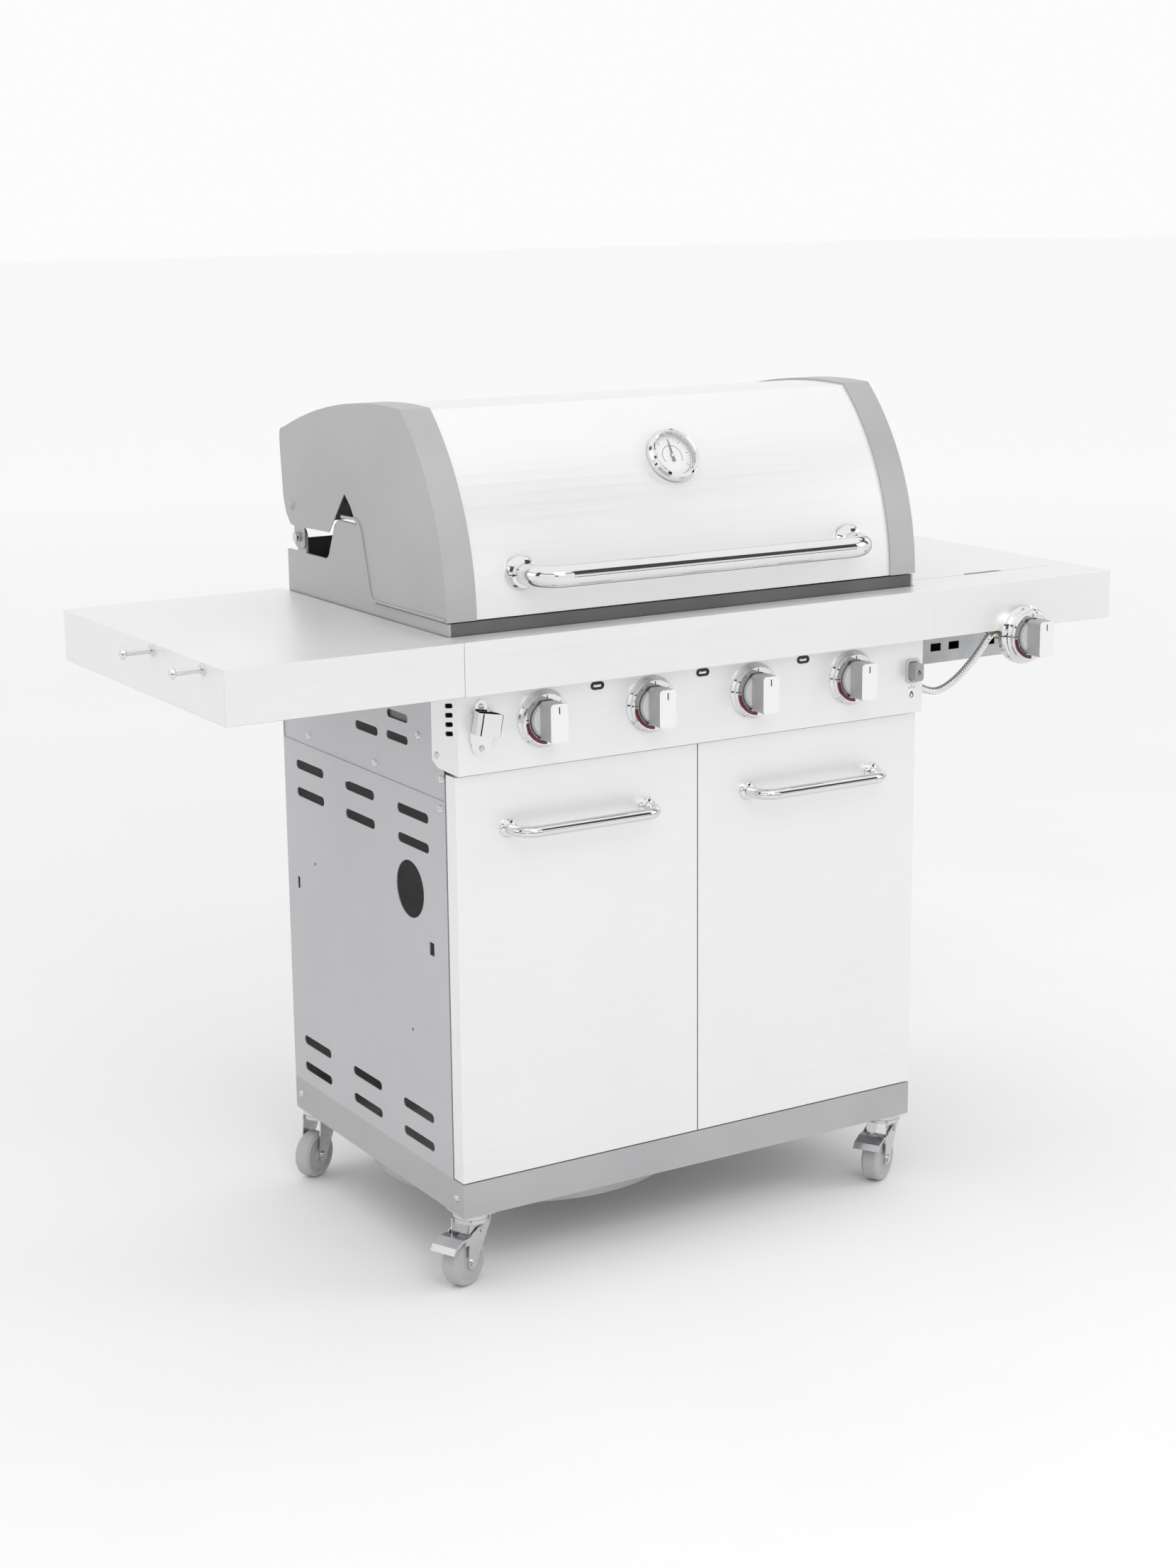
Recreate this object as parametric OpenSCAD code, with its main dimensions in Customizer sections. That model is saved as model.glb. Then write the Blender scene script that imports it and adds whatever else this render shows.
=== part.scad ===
// Four-burner gas grill on a two-door cart with a side burner.
// Z is up, the doors face -Y and the left shelf is on -X.
// The origin is on the floor, in the middle of the grill's footprint box.

/* [Cart] */
// Width of the cart across the doors
cart_w = 774; // [760:1:790]
// Depth of the cart
cart_d = 540; // [535:1:545]
// Top of the side shelves above the floor
shelf_z = 917; // [915:1:919]
// Height of the folded shelf edge
shelf_h = 72; // [68:1:74]
// Overall width across the side shelves
total_w = 1455; // [1440:1:1470]
// Thickness of the folded steel sheets
sheet = 1.5; // [1.2:0.1:1.8]
// Height of the grey base rail
rail_h = 50; // [48:1:50]
// Thickness of the doors
door_t = 26; // [24:1:26]

/* [Lid] */
// Inside depth of the firebox, front to back
cook_d = 445; // [440:1:446]
// Width across the lid's end caps
lid_w = 778; // [776:1:779]
// Radius of the lid's curved front
lid_front_r = 381; // [379:1:382]
// Radius of the lid's curved top
lid_top_r = 928; // [927:1:929]
// Height of the lid hinge above the floor
hinge_z = 1001; // [1000:1:1002]
// Radius of the lid handle tube
handle_r = 15; // [12:1:16]
// Half the distance between the lid handle's ends
handle_x = 272; // [262:1:280]

/* [Controls] */
// Height of the main knobs above the floor
knob_z = 798; // [796:1:800]
// Distance between neighbouring knobs
knob_pitch = 172; // [170:1:174]
// Outer radius of the ring round a knob
bezel_r = 40; // [38:1:41]
// Travel of a knob when it is pushed
push = 3; // [2:0.5:3]
// Radius of a valve stem
stem_r = 3; // [2.5:0.5:3]
// Width of a knob's grip bar
grip_w = 27; // [24:1:28]
// Height of a knob's grip bar
grip_h = 53; // [48:1:54]

/* [Side burner] */
// Middle of the side burner across the grill
side_x = 554; // [552:1:556]
// Middle of the side burner, front to back
side_y = -53; // [-55:1:-51]
// Middle of the side-burner knob across the grill
sknob_x = 554; // [550:1:558]
// Height of the side-burner knob
sknob_z = 836; // [834:1:838]

/* [Casters] */
// Total height of a caster
caster_h = 103; // [102:1:104]
// Radius of a wheel
wheel_r = 35; // [33:1:36]
// Distance of the wheel axle from the swivel axis
trail = 20; // [16:1:22]
// Distance of the casters from the cart's middle, left and right
caster_x = 361; // [352:1:361]
// Distance of the casters from the cart's middle, front and back
caster_y = 242; // [232:1:244]

/* [Hidden] */

$fn = 48;
t = sheet;
cx = cart_w / 2;                 // half the cart
cy = cart_d / 2;
base_z = caster_h;               // underside of the base rail
base_top = base_z + rail_h;      // top of the base rail
fas_y = -308;                    // front of the shelf edges and upper panel
pan_y = -283;                    // front of the knob panel
pan_z0 = 733;                    // bottom of the knob panel
pan_z1 = shelf_z - shelf_h;      // top of the knob panel
door_y = -cy;                    // front of the doors
door_z0 = base_top + 2;
door_z1 = pan_z0 - 4;
fire_y0 = -259;                  // firebox front, outside, at the rim
fire_y1 = fire_y0 + cook_d + 6;  // firebox rear wall, outside
fire_x = 382;                    // half width of the firebox body
rim_x = 386;                     // half width across the firebox side plates
lid_y = 185;                     // lid hinge
lid_x = lid_w / 2;
hook_l = 45;                     // how far a tool hook sticks out
grip_out = 32;                   // grip front ahead of the ring front
ring_t = 12;
skirt_r = bezel_r - 15;          // knob skirt inside its ring
drum_t = 14;
front_y = fas_y - drum_t - ring_t - grip_out;   // foremost point, the side knob
org_x = hook_l / 2;
org_y = -(front_y + cy - t + 3.48) / 2;
man_z = knob_z - 30;                // height of the gas manifold
knob_xs = [-1.5 * knob_pitch, -0.5 * knob_pitch, 0.5 * knob_pitch, 1.5 * knob_pitch];
lc = [120, 930];                 // centre of the lid's front arc in Y and Z
tc = [-80, 1209 - lid_top_r];    // centre of the lid's top arc in Y and Z

// ---------- helpers ----------
module put() translate([org_x, org_y, 0]) children();
// a flat outline in Y and Z, made thick along +X from x0
module yz(x0, th) translate([x0, 0, 0]) rotate([90, 0, 90]) linear_extrude(th) children();
// a flat outline in X and Z, made thick along +Y from y0
module xz(y0, th) translate([0, y0 + th, 0]) rotate([90, 0, 0]) linear_extrude(th) children();
// a flat outline in X and Y, made thick along +Z from z0
module xy(z0, th) translate([0, 0, z0]) linear_extrude(th) children();
// a block from one corner to the other
module blk(a, b) translate(a) cube(b - a);
// a slot with round ends
module slot(l, h) { square([l - h, h], center = true); for (s = [-1, 1]) translate([s * (l - h) / 2, 0]) circle(h / 2); }
// a rectangle with round corners
module rrect(w, h, r) { square([w - 2 * r, h], center = true); square([w, h - 2 * r], center = true);
  for (i = [-1, 1], j = [-1, 1]) translate([i * (w / 2 - r), j * (h / 2 - r)]) circle(r); }
// cylinders along X and Y
module cylx(x0, x1, y, z, r) translate([x0, y, z]) rotate([0, 90, 0]) cylinder(r = r, h = x1 - x0);
module cyly(x, y0, y1, z, r) translate([x, y0, z]) rotate([-90, 0, 0]) cylinder(r = r, h = y1 - y0);
module cylz(x, y, z0, z1, r) translate([x, y, z0]) cylinder(r = r, h = z1 - z0);
function arc(c, r, a0, a1, n) = [for (i = [0 : n]) c + r * [cos(a0 + (a1 - a0) * i / n), sin(a0 + (a1 - a0) * i / n)]];
function rev(v) = [for (i = [len(v) - 1 : -1 : 0]) v[i]];

// ---------- lid outline ----------
// Angle on the front arc where the two arcs meet, for an inset d
function meet(d) = let (r1 = lid_front_r - d, r2 = lid_top_r - d, v = tc - lc, q = norm(v),
  a = (q * q + r1 * r1 - r2 * r2) / (2 * q)) atan2(v[1], v[0]) - acos(a / r1) + 360;
function meet_pt(d) = lc + (lid_front_r - d) * [cos(meet(d)), sin(meet(d))];
function top_a(p) = atan2(p[1] - tc[1], p[0] - tc[0]);
// Lid outline in Y and Z from the front edge over the top to the back edge
function lid_path(d) = let (r1 = lid_front_r - d, a0 = 180 - asin(6 / r1), m = meet(d), r2 = lid_top_r - d,
  b0 = top_a(meet_pt(d)), b1 = acos((243 - 14 - tc[0]) / r2))
  concat(arc(lc, r1, a0, m, 20),
    arc(tc, r2, b0 - 0.6, b1, 12),
    arc([243 - 14, tc[1] + sqrt(r2 * r2 - pow(243 - 14 - tc[0], 2)) - 12 + d * 0], 12, 68, 4, 4) - [for (i = [0 : 4]) [d - 2, 0]],
    [[243 - d, 1130], [236 - d, 1052], [228 - d, 1032], [215 - d, 1017]]);

// ======================================================= cart
module base_pan() color([0.70, 0.70, 0.71]) put() {
  rx = -140; ry = -10;
  difference() {
    blk([-cx, -cy, base_z], [cx, cy, base_top]);
    blk([-cx + t, -cy + t, base_z + t], [cx - t, cy - t, base_top - t]);
    blk([-cx + 14, -cy + 14, base_top - 5], [cx - 14, cy - 14, base_top + 1]);
    cylz(rx, ry, base_z - 1, base_z + 30, 239);
    for (s = [-1, 1]) cylz(s * (cx - 9), door_y + door_t / 2, base_top - 8, base_top + 1, 3);
  }
  // round seat for the gas bottle, pressed below the floor of the pan
  translate([rx, ry, 0]) rotate_extrude($fn = 96) polygon([[0, 79], [231, 79], [240, base_z], [240, base_z + t], [238.6, base_z + t], [229.8, 79 + t], [0, 79 + t]]);
}

// Slots shared by both side panels, in Y and Z
module side_holes() {
  for (y = [182, 18, -145], z = [656, 614]) translate([y, z]) slot(92, 14);
  for (y = [186, 19, -141], z = [223, 181]) translate([y, z]) slot(92, 14);
  translate([-132, 545]) circle(41);
  translate([233, 471]) square([8, 18], center = true);
  translate([-193, 473]) square([14, 19], center = true);
  translate([174, 512]) circle(2.5);
  translate([-130, 340]) circle(2.5);
}
module side_panel_at(s) mirror([s > 0 ? 1 : 0, 0, 0]) difference() { union() {
  yz(-cx, t) difference() { translate([-240, base_top]) square([240 + cy, 690 - base_top]); side_holes(); }
  yz(-cx + t, t) difference() {
    translate([-236, 684]) square([236 + cy - 1, pan_z1 + 1 - 684]);
    translate([-103, 785]) slot(62, 12);
    translate([-7, 751]) slot(70, 13);
    translate([-101, 754]) slot(64, 12);
  }
  xz(-240, t) translate([-cx, base_top]) square([20, 570]);
  xz(cy - t, t) translate([-cx, base_top]) square([20, 680]);
  }
  // way through for the side burner's gas pipe
  if (s > 0) cylx(-cx - 1, -cx + 5, -238, man_z, 7.5);
}
module left_side_panel() color([0.75, 0.75, 0.77]) put() side_panel_at(-1);
module right_side_panel() color([0.75, 0.75, 0.77]) put() side_panel_at(1);

module back_panel() color([0.74, 0.74, 0.76]) put() xz(cy - 2 * t, t) difference() {
  translate([-383, base_top]) square([766, pan_z1 - 12 - base_top]);
  translate([0, 365]) rrect(250, 400, 12);
  translate([0, 732]) rrect(326, 46, 3);
  for (x = [-250, 250], z = [656, 614, 223, 181]) translate([x, z]) slot(92, 14);
}

module control_panel() color([0.93, 0.93, 0.94]) put() {
  difference() {
    yz(-lid_x, lid_w) polygon([[fas_y, shelf_z], [fas_y, pan_z1], [pan_y, pan_z1], [pan_y, pan_z0], [-247, pan_z0], [-247, pan_z0 + t],
      [pan_y + t, pan_z0 + t], [pan_y + t, pan_z1 + t], [fas_y + t, pan_z1 + t], [fas_y + t, shelf_z - t], [-262, shelf_z - t], [-262, shelf_z]]);
    for (x = knob_xs) cyly(x, pan_y - 2, pan_y + 4, knob_z, 8);
    for (x = [-knob_pitch, 0, knob_pitch]) translate([x, 0, 833]) xz(pan_y - 1, 4) slot(18, 8);
    translate([369, 0, 796]) xz(pan_y - 1, 4) rrect(16.4, 26.4, 4);
    for (s = [-1, 1]) blk([s > 0 ? cx + 0.01 : -lid_x - 1, pan_y - 0.01, pan_z0 - 1], [s > 0 ? lid_x + 1 : -cx - 0.01, -200, pan_z1 - 0.01]);
  }
  // end plates with vent slots
  for (s = [-1, 1]) mirror([s > 0 ? 1 : 0, 0, 0]) yz(-cx - t + 0.01, t) difference() {
    polygon([[pan_y, pan_z1], [pan_y, pan_z0], [-225, pan_z0 + 2], [-209, pan_z0 + 10], [-209, pan_z1]]);
    for (i = [0 : 4]) translate([-259, 838 - i * 12.6]) rotate(-10) slot(22, 6.5);
    if (s > 0) translate([-238, man_z]) circle(7.5);
  }
}

module shelf_at(x0, x1, hole) difference() {
  blk([x0, fas_y, shelf_z - shelf_h], [x1, 252, shelf_z]);
  blk([x0 + t, fas_y + t, shelf_z - shelf_h - 1], [x1 - t, 252 - t, shelf_z - t]);
  blk([x0 + 12, fas_y + 12, shelf_z - shelf_h - 1], [x1 - 12, 252 - 12, shelf_z - t]);
  if (hole) {
    blk([side_x - 128, side_y - 166, shelf_z - 10], [side_x + 128, side_y + 170, shelf_z + 1]);
    cyly(sknob_x, fas_y - 2, fas_y + 4, sknob_z, 22);
  }
}
module left_shelf() color([0.93, 0.93, 0.94]) put() {
  shelf_at(-total_w / 2, -lid_x, false);
  for (y = [-150, 120]) blk([-lid_x - 0.5, y, 856], [-rim_x, y + 40, 898]);
  // stiffening channels under the top
  for (y = [-170, 110]) difference() { blk([-total_w / 2 + 30, y, shelf_z - 20], [-lid_x - 30, y + 44, shelf_z - t]); blk([-total_w / 2 + 29, y + t, shelf_z - 20 + t], [-lid_x - 29, y + 44 - t, shelf_z - t + 0.01]); }
}
module right_shelf() color([0.93, 0.93, 0.94]) put() {
  shelf_at(lid_x, total_w / 2, true);
  for (y = [-150, 120]) blk([rim_x, y, 856], [lid_x + 0.5, y + 40, 898]);
}

module tool_hooks() color([0.88, 0.88, 0.90]) put() for (y = [-78, -243]) {
  cylx(-total_w / 2 - hook_l + 5, -total_w / 2, y, shelf_z - 9.5, 4);
  translate([-total_w / 2 - hook_l, y, shelf_z - 9.5]) rotate([0, 90, 0]) rotate_extrude() polygon([[0, 0], [5, 0], [8.5, 2], [9, 4], [7, 6], [4, 8], [0, 8]]);
  cylx(-total_w / 2 - 3, -total_w / 2, y, shelf_z - 9.5, 8);
}

// Stepped, flared ring round a knob; its back is at y = 0 and it faces -Y
module bezel() rotate([90, 0, 0]) rotate_extrude($fn = 72) polygon([[bezel_r, 0], [bezel_r, 3], [bezel_r - 2.5, 6], [bezel_r - 3.5, 10],
  [bezel_r - 5, ring_t], [bezel_r - 13, ring_t], [bezel_r - 14, ring_t - 2], [bezel_r - 14, 0]]);
module knob_bezels() color([0.90, 0.90, 0.92]) put() {
  for (x = knob_xs) translate([x, pan_y, knob_z]) bezel();
  // round housing of the side-burner knob, on the shelf edge
  translate([sknob_x, fas_y - drum_t, sknob_z]) bezel();
  translate([sknob_x, fas_y, sknob_z]) rotate([90, 0, 0]) difference() {
    rotate_extrude($fn = 72) polygon([[8, 0], [44, 0], [44, 8], [42, 12], [39, drum_t], [bezel_r - 14, drum_t], [bezel_r - 14, 3], [8, 3]]);
  }
}

module igniter_module() color([0.30, 0.30, 0.32]) put() {
  translate([369, 0, 796]) xz(pan_y - 3, 3) difference() { rrect(24, 36, 6); rrect(16.6, 28.6, 4.3); }
  difference() {
    blk([354, pan_y + t, 778.5], [384, -236, 820]);
    blk([356, pan_y + t - 1, 780], [382, -250, 818]);
  }
}

module bottle_opener() color([0.88, 0.88, 0.89]) put() translate([-354, pan_y, 797]) {
  // back plate with an ear at each end
  xz(-3, 3) difference() {
    union() { translate([0, 28]) circle(9); translate([-9, -8]) square([18, 36]); translate([0, -24]) circle(15); square([34, 40], center = true); }
    translate([0, 28]) circle(2.6); translate([0, -28]) circle(2.6);
  }
  // hollow catch with a slightly turned front plate
  translate([3, -14, 6]) rotate([0, 10, 0]) translate([0, 0, -15]) linear_extrude(30) difference() {
    rrect(38, 24, 7);
    translate([0, 1]) rrect(33, 19, 5);
  }
}

module gas_manifold() color([0.80, 0.80, 0.80]) put() translate([0, 0, man_z]) {
  difference() { cylx(-330, 382, -238, 0, 9); cylx(-320, 372, -238, 0, 7); }
  translate([-330, -238, 0]) sphere(9);
  // pipe back to the threaded inlet, which points down for the regulator hose
  cyly(-322, -238, -208, 0, 7);
  translate([-322, -208, 0]) sphere(8.5);
  difference() { cylz(-322, -208, -42, 0, 6.6); cylz(-322, -208, -43, -4, 4); }
  translate([-322, -208, -24]) cylinder(r = 11, h = 9, $fn = 6);
  // outlet elbow to the side burner
  cylx(380, 399, -238, 0, 6);
  translate([399, -238, 0]) sphere(8);
  cyly(399, -238, -204, 0, 6);
  translate([399, -204, 0]) sphere(8.5);
  cylx(399, 410, -204, 0, 8);
}

// Gas valve at the origin with its stem bore towards -Y
module valve() difference() {
  union() {
    blk([-13, 14, -12], [13, 44, 14]);
    cyly(0, 6, 16, 0, 9);
    cyly(0, 44, 72, 0, 4);
    cyly(0, 44, 52, 0, 7);
    cylz(0, 45, -24, -10, 6);
    for (s = [-1, 1]) cyly(s * 10.5, t, 14.5, 0, 2);
  }
  cyly(0, 5, 36, 0, stem_r + 0.05);
  cyly(0, 60, 73, 0, 1);
}
module gas_valves() color([0.72, 0.66, 0.45]) put() {
  for (x = knob_xs) translate([x, pan_y, knob_z]) difference() { valve(); translate([0, 45, -30]) rotate([0, 90, 0]) cylinder(r = 9, h = 60, center = true); }
  translate([sknob_x, fas_y, sknob_z]) {
    difference() { union() { blk([-13, 14, -12], [13, 44, 14]); cyly(0, 6, 16, 0, 9); cylx(-26, -12, 30, 0, 6.5); cyly(0, 43, 72, 0, 4); for (s = [-1, 1]) cyly(s * 10.5, 3, 14.5, 0, 2); } cyly(0, 5, 36, 0, stem_r + 0.05); }
    difference() { blk([-30, t, -8], [30, 3.5, 8]); cyly(0, 0, 5, 0, 7); }
  }
}

module burners() color([0.78, 0.78, 0.78]) put() for (x = knob_xs) {
  difference() {
    union() { cyly(x, -216, 172, 800, 14); cyly(x, -216, -206, 800, 17); cyly(x, 171, 190, 800, 4); }
    cyly(x, -217, 170, 800, 12.6);
    for (i = [0 : 11], s = [-1, 1]) translate([x, -150 + i * 26, 800]) rotate([0, s * 40, 0]) cylinder(r = 1.6, h = 20);
  }
  // spark electrode on its bracket
  cylz(x + 24, -120, 785, 816, 2);
  translate([x - 6, -124, 785]) cube([32, 8, 2]);
  cylx(x + 17, x + 24, -120, 814, 1.4);
}

module emitters() color([0.35, 0.34, 0.33]) put() for (i = [-1.5 : 1 : 1.5]) translate([i * 186, 0, 0])
  difference() {
    xz(-255, 441) polygon([[-70, 884], [0, 902], [70, 884], [70, 886], [0, 904.2], [-70, 886]]);
    for (k = [0 : 9], s = [-1, 1]) translate([s * 35, -215 + k * 40, 886]) cylinder(r = 4, h = 14);
  }

module grates() color([0.22, 0.22, 0.23]) put() for (i = [-1.5 : 1 : 1.5]) translate([i * 187, 0, 0]) {
  xy(913, 12) difference() {
    translate([-92.5, -255]) square([185, 441]);
    for (k = [0 : 13], j = [0 : 2]) translate([-86.3 + k * 12.4, -245 + j * 142]) square([7.2, 137]);
  }
  for (y = [-200, 0, 130]) blk([-90, y, 906], [90, y + 6, 915]);
}

module firebox() color([0.45, 0.45, 0.46]) put() {
  y0 = fire_y0; y1 = fire_y1; yf = -200;
  // front wall, stepped back behind the knob panel
  difference() {
    yz(-fire_x, 2 * fire_x) polygon([[y0, 934], [y0, 880], [yf, 850], [yf, 755], [yf + 2, 755], [yf + 2, 851.4], [y0 + 2, 881.4], [y0 + 2, 934]]);
    for (x = knob_xs) cyly(x, yf - 3, yf + 5, 800, 14);
  }
  // front rim
  blk([-fire_x, y0 - 0.0, 932], [fire_x, y0 + 8, 934]);
  // rear wall
  xz(y1 - 2, 2) difference() { translate([-fire_x, 755]) square([2 * fire_x, 243]); for (i = [-4 : 4]) translate([i * 80, 960]) slot(56, 10); }
  // ledges for the grates
  blk([-fire_x, y0 + 1, 911], [fire_x, y0 + 14, 913]);
  blk([-fire_x, y1 - 14, 911], [fire_x, y1 - 1, 913]);
  // ledges for the emitters
  blk([-fire_x, y0 + 1, 882], [fire_x, y0 + 16, 884]);
  blk([-fire_x, y1 - 14, 882], [fire_x, y1 - 1, 884]);
  // side walls
  for (s = [-1, 1]) mirror([s > 0 ? 1 : 0, 0, 0]) {
    yz(-fire_x, 2) polygon([[y0, 934], [y0, 880], [yf, 850], [yf, 772], [y1, 772], [y1, 934]]);
    // outer side plate with its raised hump and hinge ear
    yz(-rim_x, 4) difference() {
      union() {
        polygon([[y0, 880], [y0, 934], [-50, 934], [-22, 1030], [-12, 1038], [62, 1038], [74, 1030], [96, 984], [104, 978], [171, 978], [171, hinge_z],
          [199, hinge_z], [199, 978], [233, 978], [233, 846], [-196, 846]]);
        translate([lid_y, hinge_z]) circle(14);
      }
      translate([lid_y, hinge_z]) circle(4);
    }
  }
  // sloping floor with the drip opening in the middle
  difference() {
    union() {
      xz(yf, y1 - yf) polygon([[-fire_x, 786], [-90, 756], [-90, 758], [-fire_x, 788]]);
      xz(yf, y1 - yf) polygon([[fire_x, 786], [90, 756], [90, 758], [fire_x, 788]]);
      xy(756, 2) difference() { translate([-92, yf]) square([184, y1 - yf]); translate([-70, -140]) square([140, 260]); }
    }
  }
  // runners for the grease tray
  for (s = [-1, 1]) mirror([s > 0 ? 1 : 0, 0, 0]) {
    blk([-163, -170, 743.8], [-161, y1, 764.5]);
    blk([-163, -170, 743.8], [-150, y1, 745.8]);
  }
}

module grease_tray() color([0.70, 0.70, 0.71]) put() {
  difference() { blk([-148, -165, 716], [148, 258, 748]); blk([-146.5, -163.5, 717.5], [146.5, 256.5, 749]); }
  blk([-158, -165, 746], [-146.6, 258, 748]);
  blk([146.6, -165, 746], [158, 258, 748]);
  // pull lip at the back
  difference() { blk([-60, 258, 722], [60, 270, 748]); blk([-58, 257, 724], [58, 268.5, 749]); }
}

// ======================================================= side burner
module side_burner_box() color([0.70, 0.70, 0.70]) put() translate([side_x, side_y, 0]) {
  difference() {
    union() {
      blk([-104, -142, 782], [104, 148, shelf_z - 10]);
      blk([-130, -168, shelf_z - 11.5], [130, 172, shelf_z - 2]);
      blk([-136, -174, shelf_z - 3], [136, 178, shelf_z - t]);
    }
    blk([-128.5, -166.5, shelf_z - 10], [128.5, 170.5, shelf_z]);
    blk([-102.5, -140.5, 783.5], [102.5, 146.5, shelf_z]);
    for (x = [-60, -30, 30, 60]) cylz(x, 0, 781, 785, 4);
    cyly(0, -144, -138, sknob_z, 9);
    for (x = [-70, -35, 35, 70]) blk([x - 10, -143, 800], [x + 10, -139, 812]);
  }
}
module side_burner_head() color([0.30, 0.30, 0.31]) put() translate([side_x, side_y, 0]) {
  difference() {
    union() { cylz(0, 0, 840, 862, 42); cylz(0, 0, 862, 868, 36); cyly(0, -176, 0, sknob_z, 7.5); cyly(0, -186, -160, sknob_z, 10); cylz(0, 0, 783.5, 840, 8); }
    cyly(0, -190, -30, sknob_z, 5.6);
    cylz(0, 0, 846, 858, 36);
    for (a = [0 : 15 : 345]) rotate(a) translate([0, 0, 852]) rotate([0, 90, 0]) cylinder(r = 1.5, h = 50);
  }
}
module side_burner_trivet() color([0.20, 0.20, 0.21]) put() translate([side_x, side_y, shelf_z - 10]) {
  difference() { blk([-112, -152, 0], [112, 158, 6]); blk([-105, -145, -1], [105, 151, 7]); }
  blk([-106, -3.5, 0], [106, 3.5, 6]);
  blk([-3, -146, 0], [3, 152, 6]);
  for (x = [-54, 54]) { blk([x - 2.5, -146, 0], [x + 2.5, -50, 6]); blk([x - 2.5, 56, 0], [x + 2.5, 152, 6]); }
}
// Corrugated hose from the manifold outlet to the side-burner valve
hose_r = 6;
hose_pts = [[410, -204, 768], [414, -204, 768], [419, -204, 765], [426, -204, 762], [434, -205, 758], [442, -206, 753], [451, -207, 748],
  [461, -209, 744], [471, -212, 743], [481, -216, 746], [489, -221, 752], [496, -227, 760], [501, -234, 769], [505, -242, 779],
  [508, -250, 789], [510, -258, 799], [512, -264, 808], [514, -270, 817], [516, -274, 825], [519, -277, 831], [523, -278, 836], [528, -278, 836]];
function vn(v) = v / norm(v);
function tang(i) = vn(hose_pts[min(i + 1, len(hose_pts) - 1)] - hose_pts[max(i - 1, 0)]);
function ring_pt(i, k, n) = let (d = tang(i), u = vn(cross(d, [0.2, 1, 0.1])), w = cross(d, u)) hose_pts[i] + hose_r * (u * cos(360 * k / n) + w * sin(360 * k / n));
module side_burner_hose() color([0.85, 0.85, 0.86]) put() let (n = 12, m = len(hose_pts))
  polyhedron(points = [for (i = [0 : m - 1], k = [0 : n - 1]) ring_pt(i, k, n)],
    faces = concat([[for (k = [0 : n - 1]) k]], [[for (k = [n - 1 : -1 : 0]) (m - 1) * n + k]],
      [for (i = [0 : m - 2], k = [0 : n - 1]) [i * n + k, (i + 1) * n + k, (i + 1) * n + (k + 1) % n, i * n + (k + 1) % n]]));

sl_y = side_y + 172;  // side lid hinge
sl_z = shelf_z + 5;
module side_burner_lid() color([0.94, 0.94, 0.95]) put() difference() {
  union() {
    blk([side_x - 127, side_y - 165, shelf_z - 8], [side_x + 127, side_y + 169, shelf_z]);
    for (s = [-1, 1]) cylx(side_x + s * 105 - 14, side_x + s * 105 + 14, sl_y, sl_z, 4.6);
    for (s = [-1, 1]) blk([side_x + s * 105 - 14, sl_y - 9, shelf_z - 1], [side_x + s * 105 + 14, sl_y - 3, sl_z]);
  }
  blk([side_x - 125.5, side_y - 163.5, shelf_z - 9], [side_x + 125.5, side_y + 167.5, shelf_z - 1.5]);
  for (s = [-1, 1]) cylx(side_x + s * 105 - 15, side_x + s * 105 + 15, sl_y, sl_z, 2.55);
  translate([side_x, side_y - 165, 0]) xy(shelf_z - 10, 12) slot(72, 16);
}

// ======================================================= casters
cast_pos = [[-caster_x, -caster_y], [caster_x, -caster_y], [-caster_x, caster_y], [caster_x, caster_y]];
module caster_mounts() color([0.82, 0.82, 0.83]) put() for (p = cast_pos) translate([p[0], p[1], 0]) {
  difference() {
    union() { blk([-25.5, -25.5, base_z - 2], [25.5, 25.5, base_z]); cylz(0, 0, base_z - 7, base_z - 1.9, 26); }
    for (i = [-1, 1], j = [-1, 1]) cylz(i * 21, j * 21, base_z - 3, base_z + 1, 2.5);
    cylz(0, 0, base_z - 7.1, base_z - 5, 22);
  }
  cylz(0, 0, base_z - 14.5, base_z - 2, 5);
  cylz(0, 0, base_z - 16.5, base_z - 13.2, 8);
}
// Point where a line from p touches a circle
function tan_pt(p, c, r, s) = let (v = p - c, a = atan2(v[1], v[0]) + s * acos(r / norm(v))) c + r * [cos(a), sin(a)];
// Fork with its riveted axle, trailing towards -X
module fork(braked) {
  difference() {
    union() {
      cylz(0, 0, base_z - 12.5, base_z - 7.4, 26);
      // two cheeks
      for (s = [-1, 1]) xz(s > 0 ? 15 : -17, 2) difference() {
        let (c = [-trail, wheel_r], p = [-24, base_z - 18], q = [23, base_z - 18]) union() { polygon([[23, base_z - 8], [-24, base_z - 8], p, tan_pt(p, c, 9.5, 1), tan_pt(q, c, 9.5, -1), q]); translate(c) circle(9.5); }
      }
      blk([-22, -16, base_z - 12.5], [18, 16, base_z - 10]);
    }
    cylz(0, 0, base_z - 20, base_z, 5.05);
  }
  cyly(-trail, -19, 19, wheel_r, 4);
  for (s = [-1, 1]) cyly(-trail, s > 0 ? 17 : -20, s > 0 ? 20 : -17, wheel_r, 6);
  // studs for the brake lever
  if (braked) for (s = [-1, 1]) { cyly(-2, s > 0 ? 16 : -21, s > 0 ? 21 : -16, 78, 2.5); cyly(-2, s > 0 ? 20.8 : -22, s > 0 ? 22 : -20.8, 78, 4); }
}
module wheel() translate([-trail, 0, wheel_r]) rotate([90, 0, 0]) difference() {
  rotate_extrude($fn = 96) polygon([[4.05, -14.4], [10, -14.4], [11, -12], [25, -11], [27, -13], [32, -13], [wheel_r, -9], [wheel_r, 9], [32, 13], [27, 13], [25, 11], [11, 12], [10, 14.4], [4.05, 14.4]]);
}
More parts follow.
